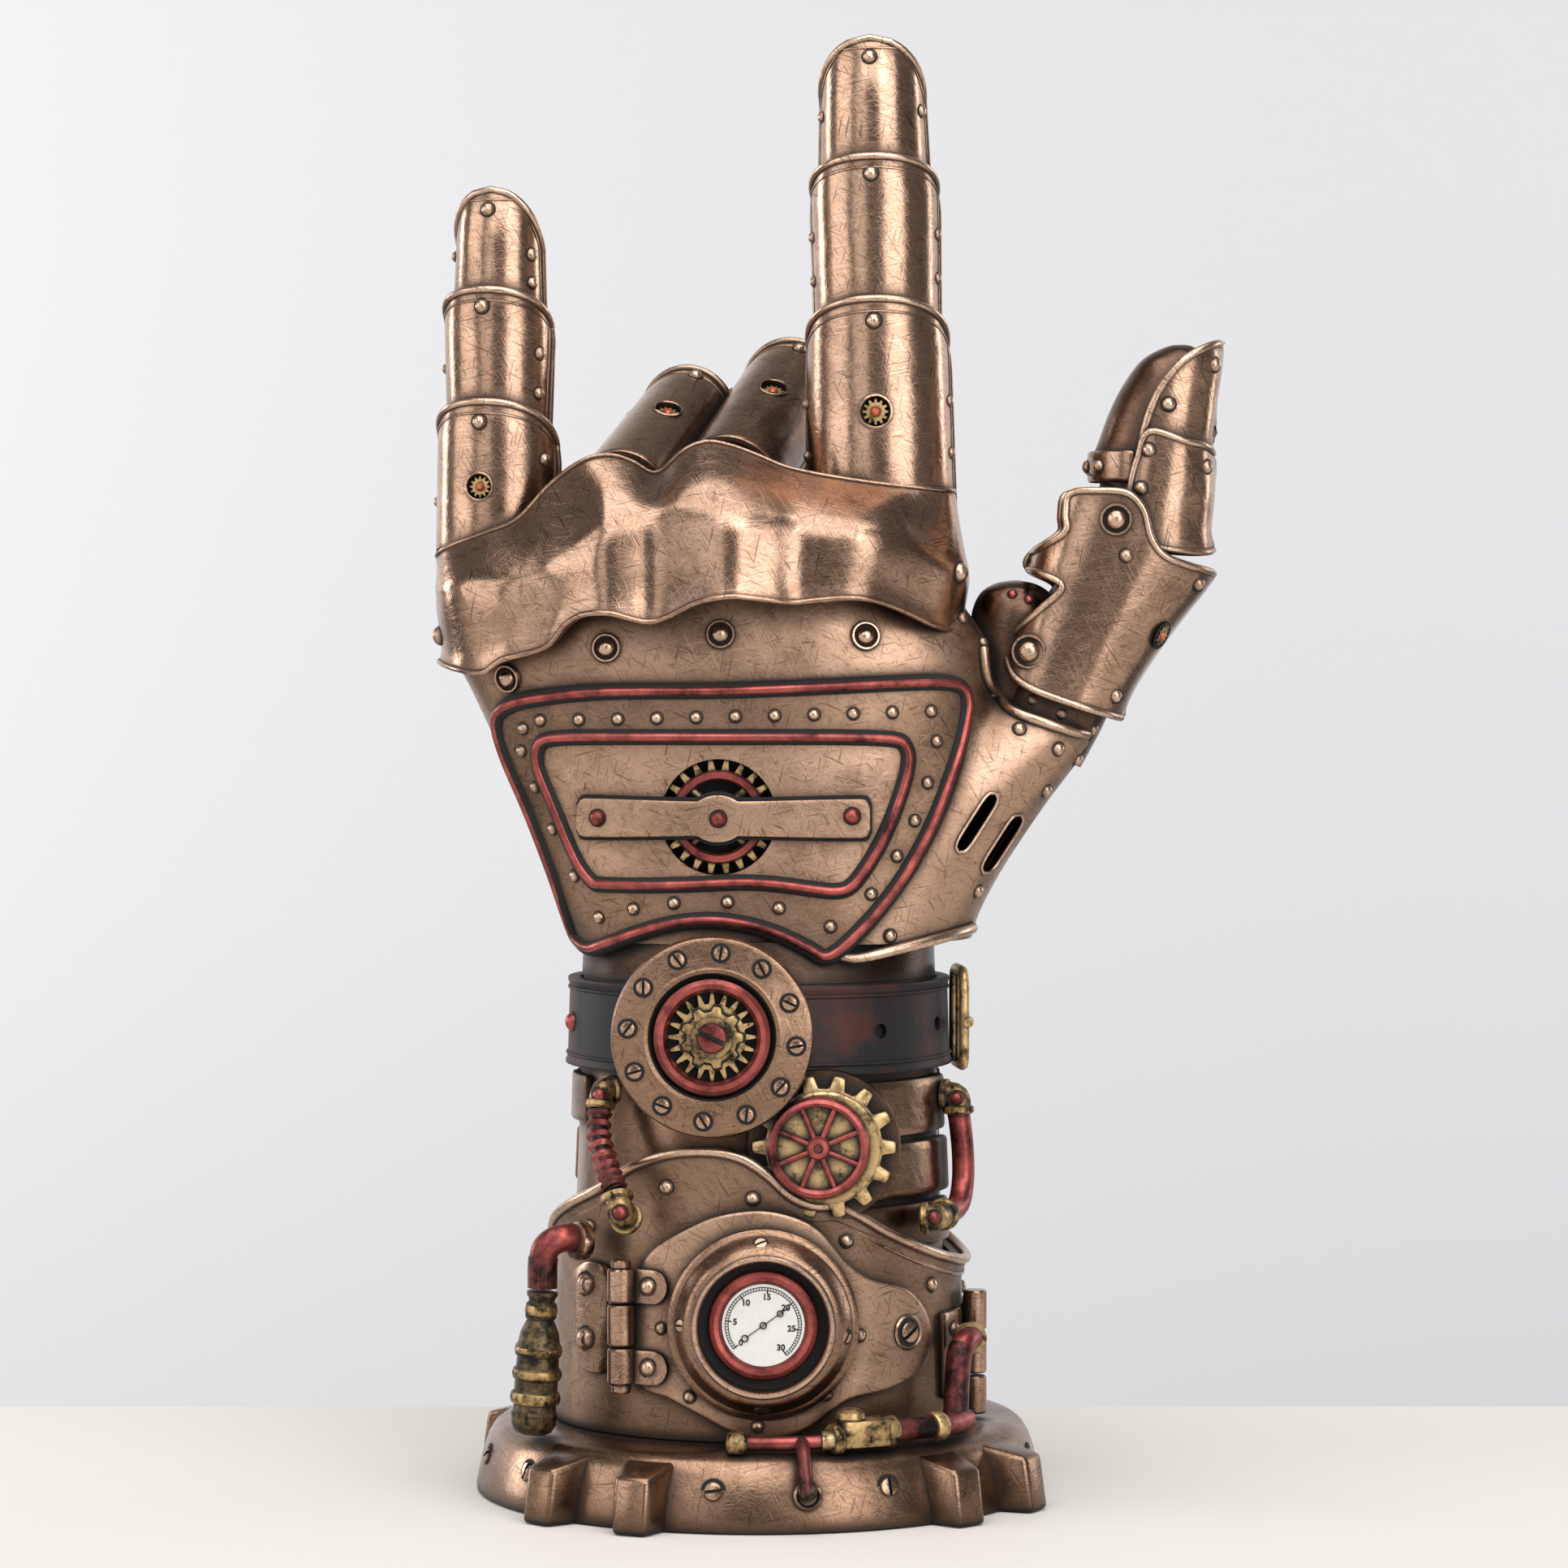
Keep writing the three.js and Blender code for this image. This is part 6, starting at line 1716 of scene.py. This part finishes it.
def thumb():
    # collar between the ball of the thumb and the first plate
    home, _ = boneFrame((47.2, 0, 127), (61, 0, 155.5))
    collar = painted(softFinger(home, [(-4, 8.8), (0, 9.0), (4, 9.1), (9, 8.8), (12, 8.6)], 1, 0), oldBronze)
    parts = [collar]
    for degrees in (-60, -25, 10, 60, 120, 180, 240):
        spot = home @ Vector((8.7 * math.sin(math.radians(degrees)), -8.7 * math.cos(math.radians(degrees)), 2.6))
        outward = (spot - home @ Vector((0, 0, 2.6))).normalized()
        parts.append(fastener("rivet", spot, outward, 1.05))
    finishPiece("thumb_collar_cast", parts)
    crook, _ = boneFrame((42.2, 0, 131), (42.6, 0, 150.6))
    lump = softFinger(crook, [(0, 7.2), (8, 7.6), (14, 7.2), (17.4, 5.8), (19, 3.4), (19.6, 0.4)], 0.85, 0)
    parts = [painted(lump, oldBronze)]
    lumpTree = treeOf(lump)
    parts += studded(lumpTree, [(44.6, 147.4), (41.8, 148.3)], 0.75, material=copperRed)
    finishPiece("thumb_crook_cast", parts, False)

    core = painted(
        softFinger(home, [(7, 8.2), (16, 8.3), (26, 8.4), (31.6, 8.4), (33.5, 6), (34, 2)], 1, 0), oldBronze
    )
    finishPiece("thumb_core_1_cast", [core])
    home, _ = boneFrame((62.4, 0, 155.5), (66, 0, 171.5))
    core = painted(softFinger(home, [(2, 7.9), (8, 8.2), (14, 8.1), (17, 8)], 1, 0), oldBronze)
    finishPiece("thumb_core_2_cast", [core])

    firstOutline = [
        (41.6, 135.4), (40.7, 139), (42.2, 142), (45.8, 145.5), (49.4, 148.8), (49.0, 150.4), (44.6, 152.6),
        (45.2, 155), (50.2, 158.4), (50.4, 161.5), (51.2, 164.8), (56, 165.2), (60.4, 164.7), (63, 162),
        (64.2, 157.6), (66.4, 154.6), (70.5, 153), (75.3, 151.6), (74.6, 149.6), (71, 145), (66.8, 139.4),
        (63, 133.6), (61, 129.6), (60.4, 127.9), (56, 129), (50, 130.8), (44.4, 133.0),
    ]
    line = ((51.6, 130), (63.8, 157.4), (13.2, 17.2))
    skin, surface = foldedOver(firstOutline, (17, 23), (58, 150), line, 216, 24, 11.2, 1.4)
    parts = [painted(skin, bronze)]
    dense = smoothOutline(firstOutline)
    count = len(dense)
    share = count / len(firstOutline)
    # rims follow the outline except where the plate turns over at the outer side
    front = [
        surface(dense[i % count].x, dense[i % count].y) for i in range(int(23.2 * share) - count, int(17.2 * share))
    ]
    parts += bothRims(front, 0.62, 4)
    for spot, size in (((44.3, 138.9), 2.7), ((58.5, 160.5), 2.5)):
        parts += bothFaces(surface, [spot], lambda x: -0.1, size, "washer")
    parts += bothFaces(surface, [(60.2, 154.6), (72.4, 150.0), (58.6, 131.6)], lambda x: (x - 57) * 0.05, 1.1)
    spot = surface(66.2, 141.6)
    normal = Vector((0.8, -0.45, -0.4)).normalized()
    # painted shade: a near-black dish under the small gear
    well = painted(
        turned([(0, 0.0), (2.3, 0.0), (2.5, 0.25), (2.2, 0.35), (2.0, 0.05), (0, 0.05)], spot, normal, 28),
        blackWashAndShade,
    )
    gear = painted(gearWheel(12, 1.3, 1.85, 0.3, 0.3, spot + normal * 0.35, 0.06, normal), windowBrass)
    dot = fastener("rivet", spot + normal * 0.2, normal, 0.8, material=orangeRed)
    parts += [well, gear, dot]
    finishPiece("thumb_plate_1_cast", parts)

    secondOutline = [
        (61.2, 160.6), (61.0, 166), (62.3, 171.2), (64.0, 174.9), (69.4, 173.5), (75.2, 171.6), (75.6, 166),
        (75.0, 159), (75.2, 155.6), (70, 155.3), (63.2, 156.6),
    ]
    line = ((64.6, 155.5), (67.8, 173.5), (7.6, 7.6))
    skin, surface = foldedOver(secondOutline, (5, 8), (68.4, 164.6), line, 88, 14, 9.6, 1.2)
    parts = [painted(skin, bronze)]
    dense = smoothOutline(secondOutline)
    edges = [[surface(p.x, p.y) for p in dense[0:26]], [surface(p.x, p.y) for p in dense[40:55] + dense[0:2]]]
    for edge in edges:
        parts += bothRims(edge, 0.58, 3)
    parts += bothFaces(surface, [(63.9, 171.9), (62.6, 165.6), (73.6, 169.2)], lambda x: (x - 66) * 0.08, 1.1)

    def band(u, v):
        angle = math.radians(mix(102, 258, u))
        middle = Vector((63.4, 0, 169.3 + 2.6 * (2 * v - 1)))
        return middle + Vector((9.0 * math.cos(angle), 8.6 * math.sin(angle), 0))

    ring = shapedGrid("band", 30, 6, band)
    faceAlong(ring, Vector((-1, 0, 0)))
    parts.append(painted(wall(ring, 1.2, 0.5), bronze))
    for degrees in (214, 180, 146):
        angle = math.radians(degrees)
        outward = Vector((math.cos(angle), math.sin(angle), 0))
        parts.append(fastener("rivet", Vector((63.4 + 9 * outward.x, 8.6 * outward.y, 169.3)), outward, 1.1))
    finishPiece("thumb_plate_2_cast", parts)

    # fingertip: a plate on the outer side over a smooth pad
    tipOutline = [
        (63.4, 172.6), (63.8, 177), (66.0, 182.2), (69.0, 186.0), (72.4, 188.3), (76.4, 189.5), (76.8, 186.6),
        (75.9, 180), (75.0, 172.6), (69, 172.2),
    ]
    line = ((65.6, 172), (68.4, 190.5), (7, 7))
    skin, surface = foldedOver(tipOutline, (5, 8), (70.6, 179), line, 80, 14, 8.2, 1.2)
    parts = [painted(skin, bronze)]
    dense = smoothOutline(tipOutline)
    edge = [surface(p.x, p.y) for p in dense[0:27]]
    parts += bothRims(edge, 0.66, 4)
    parts += bothFaces(surface, [(67.2, 179.4), (75, 186)], lambda x: (x - 66) * 0.08, 1.15)
    finishPiece("thumb_plate_3_cast", parts)

    home, _ = boneFrame((63.6, 0, 170.5), (72.2, 0, 190.2))
    stations = [(-6, 7.7), (0, 8.0), (5, 8.3), (10, 8.0), (15, 6.8), (18.6, 4.0), (20, 1.7), (20.4, 0.3)]
    core = painted(softFinger(home, stations, 0.9, 0), oldBronze)
    finishPiece("thumb_core_3_cast", [core])


cogFoot()
armTube()
cuff()
door()
sideHinge()
gauge()
wheels()
strap()
medallion()
pipes()
print("arm built")
handForm = handShell()
handTree = treeOf(handForm)
backOfHand(handTree)
palmPlate()
finishHand(handForm, handTree)
knuckleGuard()
print("hand built")
raisedFingers()
foldedFingers()
thumb()
tidySeeds()
print("fingers built")


def studioMaterial(name, colour, roughness):
    material = bpy.data.materials.new(name)
    material.use_nodes = True
    shader = material.node_tree.nodes["Principled BSDF"]
    shader.inputs["Base Color"].default_value = linear(colour)
    shader.inputs["Roughness"].default_value = roughness
    shader.inputs["Specular IOR Level"].default_value = 0.2
    return material


def studio():
    sheets = {
        "table_top": {"size": (6, 3.0, 0.04), "at": (0, -1.415, -0.0201), "finish": ("table_cream", "#d6d2cc", 0.7)},
        "backdrop": {"size": (9, 0.02, 6), "at": (0, 2.2, 0.6), "finish": ("backdrop_grey", "#eeeef0", 0.9)},
    }
    for name, look in sheets.items():
        sheet = block(look["size"], look["at"], edge=0.001, segments=1)
        sheet.name = sheet.data.name = name
        painted(sheet, studioMaterial(*look["finish"]))

    world = bpy.data.worlds.new("studio")
    bpy.context.scene.world = world
    world.use_nodes = True
    background = world.node_tree.nodes["Background"]
    background.inputs["Color"].default_value = linear("#e2e1e4")
    background.inputs["Strength"].default_value = 0.2

    lights = {
        "keyLeft": {"at": (-1.5, -0.6, 0.5), "size": (1.1, 1.5), "power": 11.5, "aim": (0, 0, 0.12)},
        "fillLeft": {"at": (-0.8, -1.55, 0.5), "size": (0.7, 1.3), "power": 3.6, "aim": (0, 0, 0.12)},
        "keyRight": {"at": (0.85, -1.38, 0.5), "size": (1.0, 1.5), "power": 15, "aim": (0, 0, 0.12)},
        "frontTop": {"at": (0.05, -1.15, 1.0), "size": (1.3, 0.6), "power": 7, "aim": (0, 0, 0.1)},
        "overhead": {"at": (0, -0.4, 1.45), "size": (1.6, 1.4), "power": 20, "aim": (0, 0, 0.1)},
        "backLeft": {"at": (-1.1, 1.0, 0.6), "size": (0.5, 1.1), "power": 0.8, "aim": (0, 0, 0.12)},
        "backRight": {"at": (1.1, 1.0, 0.6), "size": (0.5, 1.1), "power": 1.3, "aim": (0, 0, 0.12)},
        "washLeft": {"at": (-1.7, 0.9, 0.4), "size": (0.8, 0.8), "power": 21, "aim": (-0.2, 2.2, 0.1)},
        "washRight": {"at": (1.7, 0.9, 0.4), "size": (0.8, 0.8), "power": 11.5, "aim": (0.2, 2.2, 0.1)},
    }
    for name, lamp in lights.items():
        light = bpy.data.lights.new(name, "AREA")
        light.shape = "RECTANGLE"
        light.size, light.size_y = lamp["size"]
        light.energy = lamp["power"]
        holder = bpy.data.objects.new(name, light)
        holder.location = lamp["at"]
        holder.rotation_euler = (Vector(lamp["aim"]) - Vector(lamp["at"])).to_track_quat("-Z", "Y").to_euler()
        holder.visible_camera = False
        bpy.context.collection.objects.link(holder)

    camera = bpy.data.cameras.new("camera")
    camera.sensor_width = 36
    camera.lens = 120.4
    holder = bpy.data.objects.new("camera", camera)
    holder.location = (0.0042, -0.869, 0.149)
    holder.rotation_euler = (math.radians(90 - 2.12), 0, 0)
    bpy.context.collection.objects.link(holder)
    bpy.context.scene.camera = holder
    bpy.context.scene.view_settings.view_transform = "Standard"


studio()
print("studio set")
